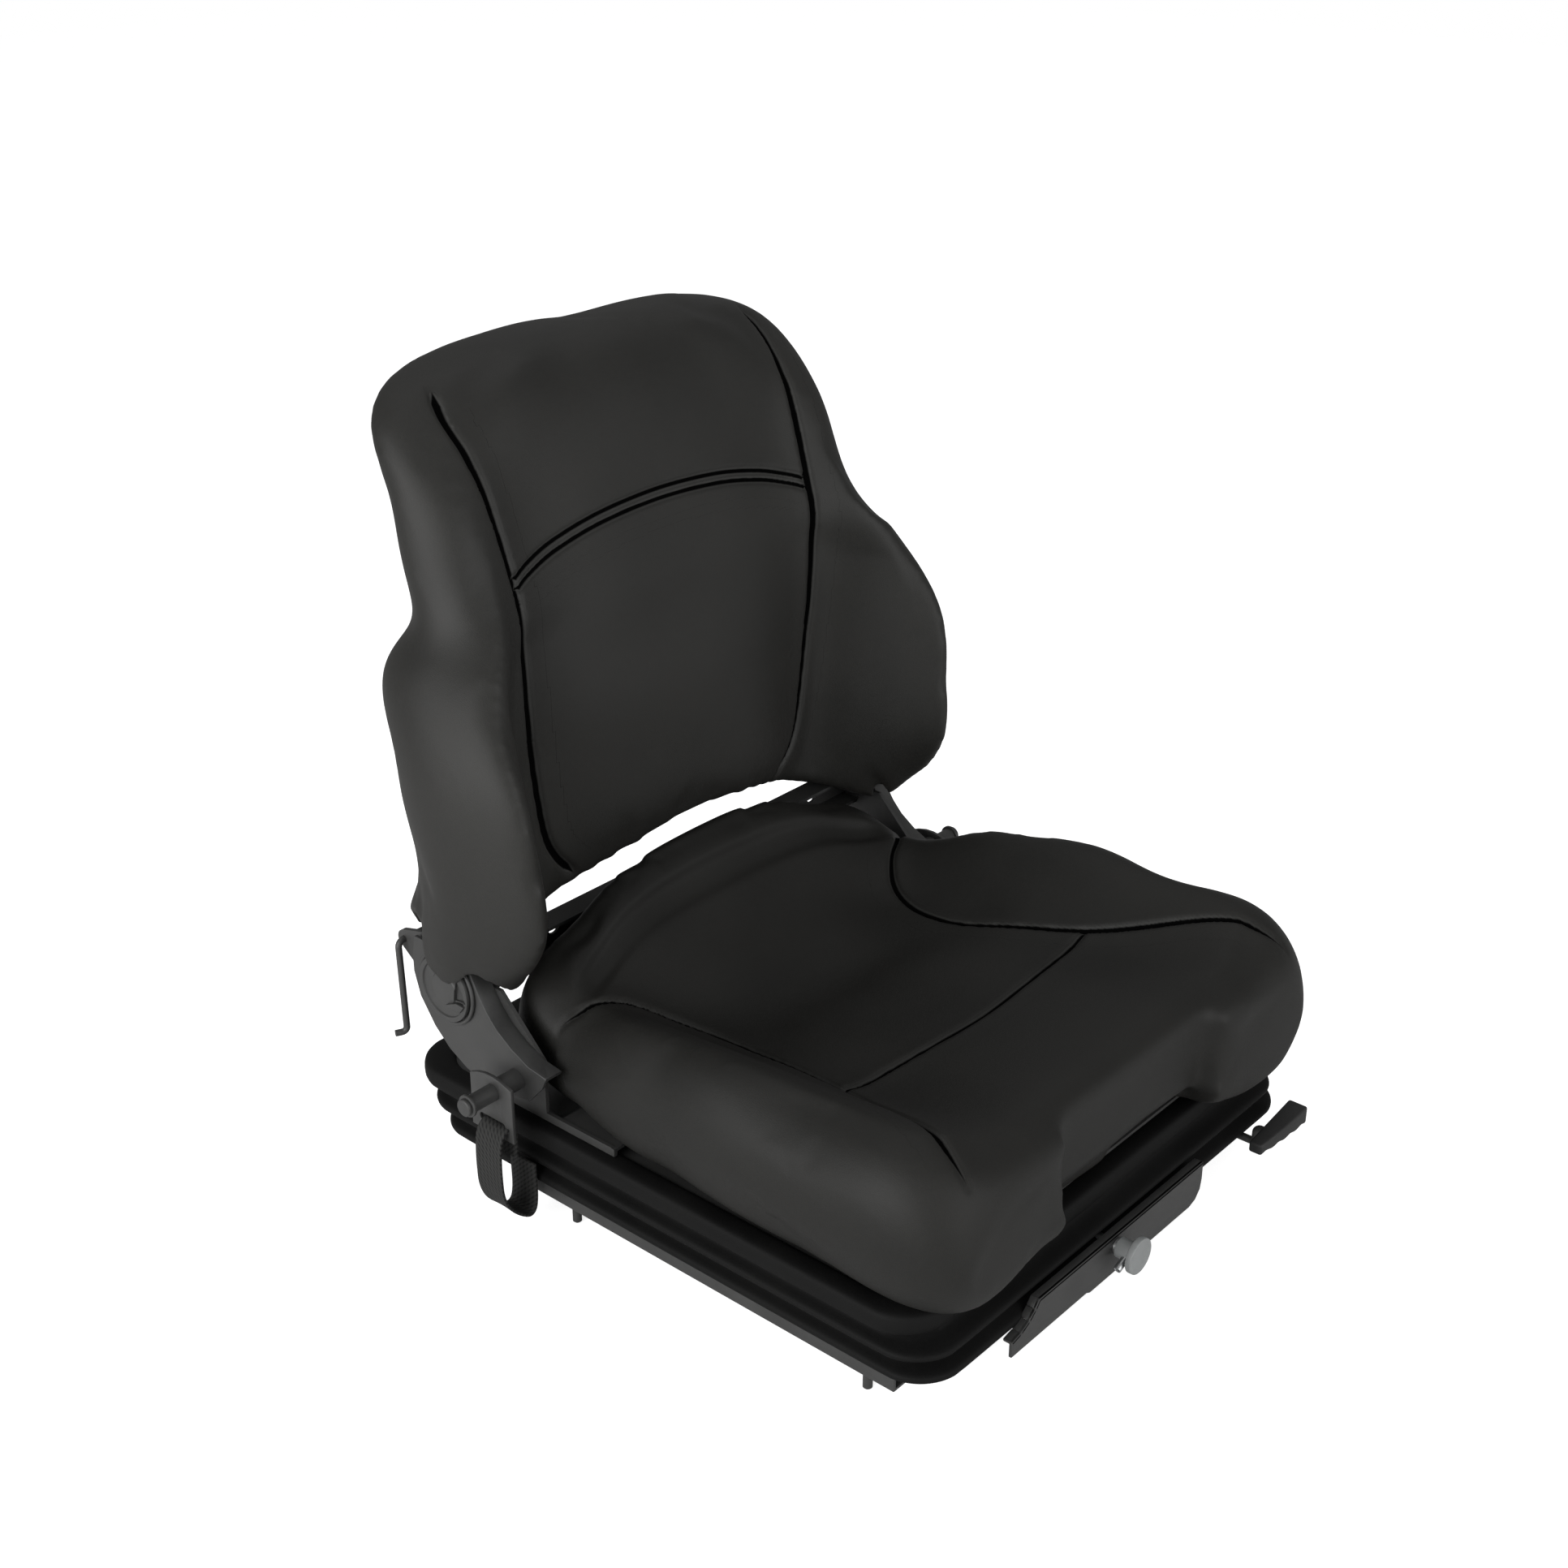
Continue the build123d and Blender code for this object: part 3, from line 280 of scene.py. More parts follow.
# the sewn channels get painted shade, darker and duller than the skin, and the folded edge beside them gets
# a painted highlight
colour = vinylTone.outputs["Color"]
shine = None
for label in ("sideSeam", "crossSeam", "lowerSeam"):
    mark = vinylTree.nodes.new("ShaderNodeAttribute")
    mark.attribute_name = label
    split = vinylTree.nodes.new("ShaderNodeSeparateXYZ")
    seamShading = useGroup(vinylTree, seamGroup, {})
    paintedShade = vinylTree.nodes.new("ShaderNodeMix")
    paintedShade.data_type = "RGBA"
    paintedShade.inputs["B"].default_value = vinylLook["channelShade"]
    paintedHighlight = vinylTree.nodes.new("ShaderNodeMix")
    paintedHighlight.data_type = "RGBA"
    paintedHighlight.inputs["B"].default_value = vinylLook["edge"]
    vinylTree.links.new(mark.outputs["Vector"], split.inputs[0])
    vinylTree.links.new(split.outputs["X"], seamShading.inputs["Signed"])
    vinylTree.links.new(split.outputs["Y"], seamShading.inputs["Width"])
    vinylTree.links.new(seamShading.outputs["EdgeHighlight"], paintedHighlight.inputs["Factor"])
    vinylTree.links.new(colour, paintedHighlight.inputs["A"])
    vinylTree.links.new(seamShading.outputs["Dark"], paintedShade.inputs["Factor"])
    vinylTree.links.new(paintedHighlight.outputs["Result"], paintedShade.inputs["A"])
    colour = paintedShade.outputs["Result"]
    dull = vinylTree.nodes.new("ShaderNodeMix")
    dull.inputs["A"].default_value = vinylLook["specular"]
    dull.inputs["B"].default_value = 0.0
    vinylTree.links.new(seamShading.outputs["Dark"], dull.inputs["Factor"])
    if shine:
        vinylTree.links.new(shine, dull.inputs["A"])
    shine = dull.outputs["Result"]
vinylTree.links.new(colour, vinylShader.inputs["Base Color"])
vinylTree.links.new(shine, vinylShader.inputs["Specular IOR Level"])

paint = surface("blackPaint", dark=(0.027, 0.027, 0.0265), lightTone=(0.042, 0.042, 0.041), scale=26,
                rough=0.4, roughSpan=0.12, grainScale=700, wrinkle=0.6, bump=0.08, bumpDepth=0.0003)[0]
bright = surface("zincSteel", dark=(0.42, 0.43, 0.44), lightTone=(0.56, 0.57, 0.57), scale=30, rough=0.3,
                 roughSpan=0.16, grainScale=900, wrinkle=0.4, bump=0.1, bumpDepth=0.0002, metallic=1.0)[0]
rubber = surface("bellowsRubber", dark=(0.0035, 0.0035, 0.0035), lightTone=(0.0065, 0.0065, 0.0063),
                 scale=18, rough=0.62, roughSpan=0.12, grainScale=1100, wrinkle=0.8, bump=0.18,
                 bumpDepth=0.0003, specular=0.13)[0]
blackPlastic = surface("mouldedPlastic", dark=(0.012, 0.012, 0.012), lightTone=(0.02, 0.02, 0.02), scale=40,
                       rough=0.5, roughSpan=0.1, grainScale=1600, wrinkle=0.3, bump=0.25, bumpDepth=0.0003,
                       specular=0.4)[0]
greyPlastic = surface("greyKnob", dark=(0.22, 0.23, 0.23), lightTone=(0.27, 0.28, 0.28), scale=40,
                      rough=0.42, roughSpan=0.1, grainScale=1200, wrinkle=0.3, bump=0.12,
                      bumpDepth=0.0003)[0]
webbing, webTree, webShader, _, webBump = surface(
    "strapWebbing", dark=(0.008, 0.008, 0.008), lightTone=(0.02, 0.02, 0.019), scale=60, rough=0.75,
    roughSpan=0.1, grainScale=900, wrinkle=0.2, bump=0.5, bumpDepth=0.0003, specular=0.25)
# the weave: slanting ribs and stripes along the strap, on its own UV
weaveUv = webTree.nodes.new("ShaderNodeUVMap")
weaveUv.uv_map = "weave"
ribs = webTree.nodes.new("ShaderNodeTexWave")
ribs.bands_direction = "DIAGONAL"
ribs.inputs["Scale"].default_value = 4.2
stripes = webTree.nodes.new("ShaderNodeTexWave")
stripes.bands_direction = "X"
stripes.inputs["Scale"].default_value = 2.2
weave = webTree.nodes.new("ShaderNodeMath")
weave.operation = "MULTIPLY_ADD"
weave.inputs[1].default_value = 0.6
weaveTone = webTree.nodes.new("ShaderNodeMix")
weaveTone.data_type = "RGBA"
weaveTone.inputs["A"].default_value = (0.006, 0.006, 0.006, 1)
weaveTone.inputs["B"].default_value = (0.028, 0.028, 0.027, 1)
for wave in (ribs, stripes):
    webTree.links.new(weaveUv.outputs[0], wave.inputs["Vector"])
webTree.links.new(stripes.outputs["Fac"], weave.inputs[0])
webTree.links.new(ribs.outputs["Fac"], weave.inputs[2])
webTree.links.new(weave.outputs[0], weaveTone.inputs["Factor"])
webTree.links.new(weaveTone.outputs["Result"], webShader.inputs["Base Color"])
webTree.links.new(weave.outputs[0], webBump.inputs["Height"])

slotLooks = {"black_steel": paint, "bright_steel": bright, "rubber": rubber, "black_plastic": blackPlastic,
             "grey_plastic": greyPlastic, "webbing": webbing, "vinyl": vinyl}
for part in frame["record"]["subparts"]:
    cadPiece = nodes[part["node"]]
    cadPiece.data.materials.clear()
    cadPiece.data.materials.append(slotLooks[part["material_slot"]])
print("materials ready")


# Modelling helpers
def pickOnly(obj):
    if bpy.context.object and bpy.context.object.mode != "OBJECT":
        bpy.ops.object.mode_set(mode="OBJECT")
    bpy.ops.object.select_all(action="DESELECT")
    obj.select_set(True)
    bpy.context.view_layer.objects.active = obj


def applyAll(obj):
    pickOnly(obj)
    for modifier in list(obj.modifiers):
        bpy.ops.object.modifier_apply(modifier=modifier.name)


def copyOfNode(node, name):
    mesh = nodes[node].data.copy()
    obj = bpy.data.objects.new(name, mesh)
    bpy.context.collection.objects.link(obj)
    pickOnly(obj)
    bpy.ops.object.mode_set(mode="EDIT")
    bpy.ops.mesh.select_all(action="SELECT")
    bpy.ops.mesh.remove_doubles(threshold=0.00002)
    bpy.ops.mesh.normals_make_consistent(inside=False)
    bpy.ops.object.mode_set(mode="OBJECT")
    return obj


def points(obj):
    flat = np.empty(len(obj.data.vertices) * 3)
    obj.data.vertices.foreach_get("co", flat)
    return flat.reshape(-1, 3)


def setPoints(obj, array):
    obj.data.vertices.foreach_set("co", array.ravel())
    obj.data.update()


def pointNormals(obj):
    flat = np.empty(len(obj.data.vertices) * 3)
    obj.data.vertex_normals.foreach_get("vector", flat)
    return flat.reshape(-1, 3)


def soften(obj, iterations, group=""):
    relax = obj.modifiers.new("relax", "SMOOTH")
    relax.factor = 0.5
    relax.iterations = iterations
    relax.vertex_group = group
    applyAll(obj)


def swell(obj, voxel, pressure, cap, smoothing, lastFrame=20):
    remesh = obj.modifiers.new("remesh", "REMESH")
    remesh.mode = "VOXEL"
    remesh.voxel_size = voxel
    applyAll(obj)
    soften(obj, smoothing)
    rest = points(obj)
    cloth = obj.modifiers.new("cloth", "CLOTH")
    cloth.settings.use_pressure = True
    cloth.settings.uniform_pressure_force = pressure
    cloth.settings.effector_weights.gravity = 0
    cloth.settings.quality = 5
    cloth.settings.tension_stiffness = 20
    cloth.settings.bending_stiffness = 2
    for step in range(1, lastFrame + 1):
        bpy.context.scene.frame_set(step)
    applyAll(obj)
    bpy.context.scene.frame_set(1)
    moved = points(obj) - rest
    length = np.linalg.norm(moved, axis=1, keepdims=True)
    setPoints(obj, rest + moved * np.minimum(1, cap / np.maximum(length, 1e-9)))
    finer = obj.modifiers.new("finer", "SUBSURF")
    finer.levels = 1
    finer.render_levels = 1
    applyAll(obj)


def lineDistance(flat, line):
    # distance of 2D points from a polyline, signed by its side, and the share of its length where they lie
    best = np.full(len(flat), 1e9)
    sign = np.ones(len(flat))
    share = np.zeros(len(flat))
    for i, (a, b) in enumerate(zip(line[:-1], line[1:])):
        a, b = np.array(a), np.array(b)
        run = b - a
        t = np.clip(((flat - a) @ run) / (run @ run), 0, 1)
        away = flat - (a + t[:, None] * run)
        distance = np.linalg.norm(away, axis=1)
        closer = distance < best
        best[closer] = distance[closer]
        sign[closer] = np.where(run[0] * away[closer, 1] - run[1] * away[closer, 0] >= 0, 1, -1)
        share[closer] = (i + t[closer]) / (len(line) - 1)
    return best, sign, share


def smoothLine(knots, steps=12):
    # a soft curve through the knots
    p = [np.array(k, float) for k in knots]
    p = [2 * p[0] - p[1]] + p + [2 * p[-1] - p[-2]]
    line = []
    for i in range(1, len(p) - 2):
        for s in range(steps):
            t = s / steps
            line.append(0.5 * (2 * p[i] + (p[i + 1] - p[i - 1]) * t
                               + (2 * p[i - 1] - 5 * p[i] + 4 * p[i + 1] - p[i + 2]) * t * t
                               + (3 * p[i] - p[i - 1] - 3 * p[i + 1] + p[i + 2]) * t ** 3))
    line.append(p[-2])
    return line


reach = 0.02   # no seam is looked for farther off than this
shallowEnd = 0.3   # share of its depth that a channel keeps at its ends


def sewSeam(obj, line, axes, facing, width, depth, shoulder=0.0, label=None, dark=0, taper=0.06):
    # presses a channel along the line, seen along the axis that facing names; the label's attribute keeps
    # the signed distance and the half width of the painted shade in millimetres, from which the vinyl
    # paints the shade in the channel and the highlight on its edge
    co, normal = points(obj), pointNormals(obj)
    near, sign, share = lineDistance(co[:, axes], line)
    side, way = facing
    open_ = np.clip((way * normal[:, side] - 0.1) / 0.3, 0, 1)
    ends = np.clip(np.minimum(share, 1 - share) / taper, 0, 1)
    groove = np.exp(-(near / width) ** 4)
    puff = np.exp(-((near - 2.6 * width) / (2.2 * width)) ** 2)
    fade = shallowEnd + (1 - shallowEnd) * ends
    co += normal * (open_ * fade * (-depth * groove + shoulder * puff))[:, None]
    setPoints(obj, co)
    if label:
        layer = obj.data.attributes.get(label)
        kept = np.tile([reach * 1000, 0.0, 0.0], (len(co), 1))
        if layer:
            old = np.empty(len(co) * 3)
            layer.data.foreach_get("vector", old)
            kept = old.reshape(-1, 3)
        else:
            layer = obj.data.attributes.new(label, "FLOAT_VECTOR", "POINT")
        mine = (near < reach) & (open_ > 0)
        kept[mine, 0] = (near * sign)[mine] * 1000
        kept[mine, 1] = dark * (ends * open_)[mine]
        layer.data.foreach_set("vector", kept.ravel())


def dress(obj, material, slot, body, *replaced):
    obj.data.materials.clear()
    obj.data.materials.append(material)
    for face in obj.data.polygons:
        face.use_smooth = True
    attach(obj, body)
    if replaced:
        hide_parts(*replaced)


# Seat cushion
seat = {
    "body": {"voxel": 0.005, "pressure": 4, "cap": 0.004, "smoothing": 6},
    "recess": {"half": 0.125, "front": -0.150, "low": 0.105, "soft": 0.02}, "recessSmoothing": 140,
    "sideSeam": [(0.196, 0.166), (0.172, 0.152), (0.150, 0.141), (0.131, 0.122), (0.121, 0.092),
                 (0.121, 0.055), (0.130, 0.008), (0.142, -0.045), (0.157, -0.09), (0.172, -0.13),
                 (0.184, -0.165), (0.193, -0.190)],
    "crossSeam": [(-0.142, -0.051), (-0.10, -0.054), (-0.055, -0.059), (0, -0.061), (0.055, -0.059),
                  (0.10, -0.054), (0.142, -0.051)],
    "rearCrease": [(-0.180, 0.160), (-0.155, 0.171), (-0.115, 0.181), (-0.06, 0.187), (0, 0.188),
                   (0.06, 0.187), (0.115, 0.181), (0.155, 0.171), (0.180, 0.160)],
    # dark: the half width in mm of the painted shade along each sewn channel
    "sideSewing": {"width": 0.0030, "depth": 0.0030, "shoulder": 0.0003, "dark": 2.0, "taper": 0.09},
    "crossSewing": {"width": 0.0026, "depth": 0.0022, "shoulder": 0.0003, "dark": 1.5, "taper": 0.01},
    "crease": {"width": 0.0085, "depth": 0.0045, "shoulder": 0.0015, "taper": 0.12},
}
cushion = copyOfNode("seat_cushion", "seatCushion")
swell(cushion, **seat["body"])
# the cover rolls softly over the edge of the front recess
co = points(cushion)
recess = seat["recess"]
nearRecess = (np.clip((recess["half"] - np.abs(co[:, 0])) / recess["soft"], 0, 1)
              * np.clip((recess["front"] - co[:, 1]) / recess["soft"], 0, 1)
              * np.clip((co[:, 2] - recess["low"]) / recess["soft"], 0, 1))
group = cushion.vertex_groups.new(name="recess")
for i in np.nonzero(nearRecess)[0]:
    group.add([int(i)], float(nearRecess[i]), "REPLACE")
soften(cushion, seat["recessSmoothing"], "recess")
for side in (-1, 1):
    line = smoothLine([(side * x, y + shiftY) for x, y in seat["sideSeam"]])
    sewSeam(cushion, line, [0, 1], (2, 1), label="sideSeam", **seat["sideSewing"])
line = smoothLine([(x, y + shiftY) for x, y in seat["crossSeam"]])
sewSeam(cushion, line, [0, 1], (2, 1), label="crossSeam", **seat["crossSewing"])
line = smoothLine([(x, y + shiftY) for x, y in seat["rearCrease"]])
sewSeam(cushion, line, [0, 1], (2, 1), **seat["crease"])
dress(cushion, vinyl, "vinyl", "upper", "seat_cushion")
print("seat cushion done")

# Back cushion
back = {
    "body": {"voxel": 0.005, "pressure": 4, "cap": 0.004, "smoothing": 6},
    "sideSeam": [(0.114, 0.196), (0.130, 0.215), (0.139, 0.235), (0.145, 0.270), (0.150, 0.315),
                 (0.153, 0.360), (0.154, 0.402), (0.155, 0.440), (0.157, 0.482), (0.160, 0.516),
                 (0.162, 0.540), (0.157, 0.556)],
    "crossSeam": [(-0.153, 0.436), (-0.135, 0.443), (-0.105, 0.452), (-0.06, 0.460), (0, 0.463),
                  (0.06, 0.460), (0.105, 0.452), (0.135, 0.443), (0.153, 0.436)],
    "channelGap": 0.0068,
    # dark: the half width in mm of the painted shade along each sewn channel
    "sideSewing": {"width": 0.0034, "depth": 0.0034, "shoulder": 0.0003, "dark": 2.6, "taper": 0.04},
    "upperSewing": {"width": 0.0026, "depth": 0.0026, "dark": 1.5, "taper": 0.005},
    "lowerSewing": {"width": 0.0026, "depth": 0.0026, "dark": 1.6, "taper": 0.005},
}
backCushion = copyOfNode("back_cushion", "backCushion")
swell(backCushion, **back["body"])
for side in (-1, 1):
    line = smoothLine([(side * x, z) for x, z in back["sideSeam"]])
    sewSeam(backCushion, line, [0, 2], (1, -1), label="sideSeam", **back["sideSewing"])
line = smoothLine([(x, z) for x, z in back["crossSeam"]])
sewSeam(backCushion, line, [0, 2], (1, -1), label="crossSeam", **back["upperSewing"])
line = smoothLine([(x, z - back["channelGap"]) for x, z in back["crossSeam"]])
sewSeam(backCushion, line, [0, 2], (1, -1), label="lowerSeam", **back["lowerSewing"])
dress(backCushion, vinyl, "vinyl", "backrest", "back_cushion")
print("back cushion done")

# Hard piece helpers
def at(x, y, z):
    # millimetres of the photograph's measures, made metres of the frame
    return Vector((x / 1000, y / 1000 + shiftY, z / 1000))


def sidePoint(x, spot):
    # a point of a piece drawn from the side, from its y and z
    return at(x, spot[0], spot[1])


def selectWhere(obj, kind, test):
    bpy.ops.mesh.select_mode(type={"verts": "VERT", "edges": "EDGE", "faces": "FACE"}[kind])
    bpy.ops.mesh.select_all(action="DESELECT")
    mesh = bmesh.from_edit_mesh(obj.data)
    for item in getattr(mesh, kind):
        item.select_set(bool(test(item)))
    mesh.select_flush_mode()
    bmesh.update_edit_mesh(obj.data)


def named(name):
    obj = bpy.context.object
    obj.name = name
    return obj


def singlePoint(name, spot):
    # a mesh of one point, left in edit mode with the point selected
    bpy.ops.object.select_all(action="DESELECT")
    bpy.ops.mesh.primitive_plane_add(size=0.001, location=(0, 0, 0))
    obj = named(name)
    bpy.ops.object.mode_set(mode="EDIT")
    selectWhere(obj, "verts", lambda v: v.index > 0)
    bpy.ops.mesh.delete(type="VERT")
    bpy.ops.mesh.select_all(action="SELECT")
    start = bmesh.from_edit_mesh(obj.data).verts[:][0].co.copy()
    bpy.ops.transform.translate(value=spot - start)
    return obj


def insetSide(obj, test, insets):
    # insets the faces that pass the test, ring after ring, each with its width and its height
    bpy.ops.object.mode_set(mode="EDIT")
    selectWhere(obj, "faces", test)
    for width, height in insets:
        bpy.ops.mesh.inset(thickness=width, depth=height)
    bpy.ops.object.mode_set(mode="OBJECT")


def outline(name, corners, thick):
    # draws the corners point by point, fills them, and pulls the face out by thick
    obj = singlePoint(name, corners[0])
    for a, b in zip(corners[:-1], corners[1:]):
        bpy.ops.mesh.extrude_region_move(TRANSFORM_OT_translate={"value": b - a})
    bpy.ops.mesh.select_all(action="SELECT")
    bpy.ops.mesh.edge_face_add()
    bpy.ops.mesh.extrude_region_move(TRANSFORM_OT_translate={"value": thick})
    bpy.ops.mesh.select_all(action="SELECT")
    bpy.ops.mesh.normals_make_consistent(inside=False)
    bpy.ops.object.mode_set(mode="OBJECT")
    return obj


def rod(name, a, b, radius, sides=40):
    # a round bar from a to b
    bpy.ops.object.select_all(action="DESELECT")
    line = b - a
    bpy.ops.mesh.primitive_cylinder_add(vertices=sides, radius=radius, depth=line.length,
                                        location=(a + b) / 2,
                                        rotation=line.to_track_quat("Z", "Y").to_euler())
    obj = named(name)
    bpy.ops.object.transform_apply(location=True, rotation=True, scale=True)
    return obj


def block(name, low, high):
    bpy.ops.object.select_all(action="DESELECT")
    bpy.ops.mesh.primitive_cube_add(size=1, location=(low + high) / 2, scale=high - low)
    obj = named(name)
    bpy.ops.object.transform_apply(location=True, rotation=True, scale=True)
    return obj


def cutWith(obj, tool):
    cut = obj.modifiers.new("cut", "BOOLEAN")
    cut.operation = "DIFFERENCE"
    cut.solver = "EXACT"
    cut.object = tool
    applyAll(obj)
    bpy.data.objects.remove(tool, do_unlink=True)


def uniteWith(obj, tool):
    sum_ = obj.modifiers.new("unite", "BOOLEAN")
    sum_.operation = "UNION"
    sum_.solver = "EXACT"
    sum_.object = tool
    applyAll(obj)
    bpy.data.objects.remove(tool, do_unlink=True)


def joined(name, *parts):
    bpy.ops.object.select_all(action="DESELECT")
    for part in parts:
        part.select_set(True)
    bpy.context.view_layer.objects.active = parts[0]
    bpy.ops.object.join()
    return named(name)


def softEdges(obj, width, segments=3, angle=32):
    bevel = obj.modifiers.new("softEdge", "BEVEL")
    bevel.width = width
    bevel.segments = segments
    bevel.limit_method = "ANGLE"
    bevel.angle_limit = math.radians(angle)
    applyAll(obj)


def finishHard(obj, material, slot, body, *replaced):
    pickOnly(obj)
    bpy.ops.object.shade_smooth_by_angle(angle=math.radians(34))
    obj.data.materials.clear()
    obj.data.materials.append(material)
    if body:
        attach(obj, body)
    if replaced:
        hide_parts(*replaced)
    return obj


def otherSide(obj, name):
    # the same piece on the sitter's left
    twin = obj.copy()
    twin.data = obj.data.copy()
    twin.name = name
    bpy.context.collection.objects.link(twin)
    pickOnly(twin)
    twin.scale = (-1, 1, 1)
    bpy.ops.object.transform_apply(location=False, rotation=False, scale=True)
    bpy.ops.object.mode_set(mode="EDIT")
    bpy.ops.mesh.select_all(action="SELECT")
    bpy.ops.mesh.normals_make_consistent(inside=False)
    bpy.ops.object.mode_set(mode="OBJECT")
    return twin


# Bellows
bellows = {
    "half": 226.5, "corner": 0.035, "wall": 0.0025,
    "spindle": {"x": -22, "z": 19, "from": -200, "to": -160, "radius": 0.005},
    # front, rear, height and how far drawn in, from the foot up
    "rings": [
        (-190, 282, 13.4, 0.6), (-190, 282, 14.4, 0), (-190, 282, 17.4, 0), (-190, 282, 19.0, 1.4),
        (-189, 286, 20.6, 7.5), (-188, 289, 23.4, 11), (-188, 292, 26.4, 8), (-187, 296, 28.0, 1.6),
        (-187, 296, 29.6, 0), (-187, 296, 32.6, 0), (-186, 297, 34.2, 1.6), (-184, 300, 35.8, 7.5),
        (-182, 302, 39.0, 11), (-179, 306, 42.2, 8), (-177, 308, 44.0, 1.6), (-177, 308, 46.0, 0),
        (-177, 308, 56.2, 0), (-177, 308, 58.8, 1.3), (-177, 308, 60.0, 4.5), (-177, 308, 60.0, 13),
        (-177, 308, 59.4, 17), (-177, 308, 57.6, 18.4),
    ],
}
half = bellows["half"]
front, rear, height, drawn = bellows["rings"][0]
bpy.ops.object.select_all(action="DESELECT")
bpy.ops.mesh.primitive_plane_add(size=1, location=at(0, (front + rear) / 2, height))
rubberSkin = named("bellowsSkin")
rubberSkin.scale = (2 * (half - drawn) / 1000, (rear - front - 2 * drawn) / 1000, 1)
bpy.ops.object.transform_apply(location=True, rotation=True, scale=True)
bpy.ops.object.mode_set(mode="EDIT")
bpy.ops.mesh.select_all(action="SELECT")
bpy.ops.mesh.bevel(offset=bellows["corner"], offset_type="OFFSET", segments=10, affect="VERTICES")
bpy.ops.mesh.delete(type="ONLY_FACE")
for before, after in zip(bellows["rings"][:-1], bellows["rings"][1:]):
    old = [half - before[3], (before[1] - before[0]) / 2 - before[3]]
    new = [half - after[3], (after[1] - after[0]) / 2 - after[3]]
    move = at(0, (after[0] + after[1]) / 2, after[2]) - at(0, (before[0] + before[1]) / 2, before[2])
    bpy.ops.mesh.select_mode(type="EDGE")
    level = at(0, 0, before[2]).z
    selectWhere(rubberSkin, "edges",
                lambda e: all(abs(v.co.z - level) < 1e-5 for v in e.verts) and len(e.link_faces) < 2)
    bpy.ops.mesh.extrude_edges_move(TRANSFORM_OT_translate={"value": move})
    bpy.ops.transform.resize(value=(new[0] / old[0], new[1] / old[1], 1),
                             center_override=at(0, (after[0] + after[1]) / 2, after[2]))
bpy.ops.mesh.select_all(action="SELECT")
bpy.ops.mesh.normals_make_consistent(inside=False)
bpy.ops.object.mode_set(mode="OBJECT")
wall = rubberSkin.modifiers.new("wall", "SOLIDIFY")
wall.thickness = bellows["wall"]
wall.offset = -1
rounder = rubberSkin.modifiers.new("rounder", "SUBSURF")
rounder.levels = rounder.render_levels = 1
applyAll(rubberSkin)
hole = bellows["spindle"]
cutWith(rubberSkin, rod("spindleHole", at(hole["x"], hole["from"], hole["z"]),
                        at(hole["x"], hole["to"], hole["z"]), hole["radius"]))
finishHard(rubberSkin, rubber, "rubber", None, "bellows")
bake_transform(rubberSkin)
print("bellows done")

# Tether straps
strap = {
    "front": 161, "rear": 187, "thick": 0.0019, "cup": 0.0006, "across": 8, "edge": 0.0004,
    "line": [(-247.4, 46), (-246.8, 60), (-247.4, 69), (-251, 72.2), (-256.5, 71), (-260.8, 65),
             (-262.5, 54), (-262.8, 36), (-261.6, 20), (-256.5, 7), (-247, -3.5), (-238, -9),
             (-232.8, -6), (-230.9, 4), (-230.9, 18), (-231.2, 32)],
}
path = smoothLine([(x / 1000, z / 1000) for x, z in strap["line"]], 6)
tether = singlePoint("tetherStrapRight", Vector((path[0][0], strap["front"] / 1000 + shiftY, path[0][1])))
stripe = (strap["rear"] - strap["front"]) / strap["across"] / 1000
for column in range(strap["across"]):
    bpy.ops.mesh.extrude_region_move(TRANSFORM_OT_translate={"value": (0, stripe, 0)})
bpy.ops.mesh.select_mode(type="EDGE")
bpy.ops.mesh.select_all(action="SELECT")
for a, b in zip(path[:-1], path[1:]):
    bpy.ops.mesh.extrude_edges_move(TRANSFORM_OT_translate={"value": (b[0] - a[0], 0, b[1] - a[1])})
bpy.ops.object.mode_set(mode="OBJECT")
lengths = np.concatenate([[0], np.cumsum([np.linalg.norm(b - a) for a, b in zip(path[:-1], path[1:])])])
co = points(tether)
place = np.array([np.argmin(np.linalg.norm(np.array(path) - spot, axis=1)) for spot in co[:, [0, 2]]])
bandWidth = (strap["rear"] - strap["front"]) / 1000
acrossShare = (co[:, 1] - shiftY - strap["front"] / 1000) / bandWidth
uvLayer = tether.data.uv_layers.new(name="weave")
for loop in tether.data.loops:
    spot = loop.vertex_index
    uvLayer.data[loop.index].uv = (acrossShare[spot], lengths[place[spot]] / bandWidth)
crown = pointNormals(tether) * (strap["cup"] * np.sin(np.pi * acrossShare))[:, None]
setPoints(tether, co + crown)
wall = tether.modifiers.new("wall", "SOLIDIFY")
wall.thickness = strap["thick"]
wall.offset = 0
applyAll(tether)
softEdges(tether, strap["edge"], 2, 50)
tetherLeft = otherSide(tether, "tetherStrapLeft")
for obj, node in ((tether, "tether_strap_right"), (tetherLeft, "tether_strap_left")):
    finishHard(obj, webbing, "webbing", None, node)
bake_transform(tether)
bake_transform(tetherLeft)
print("straps done")

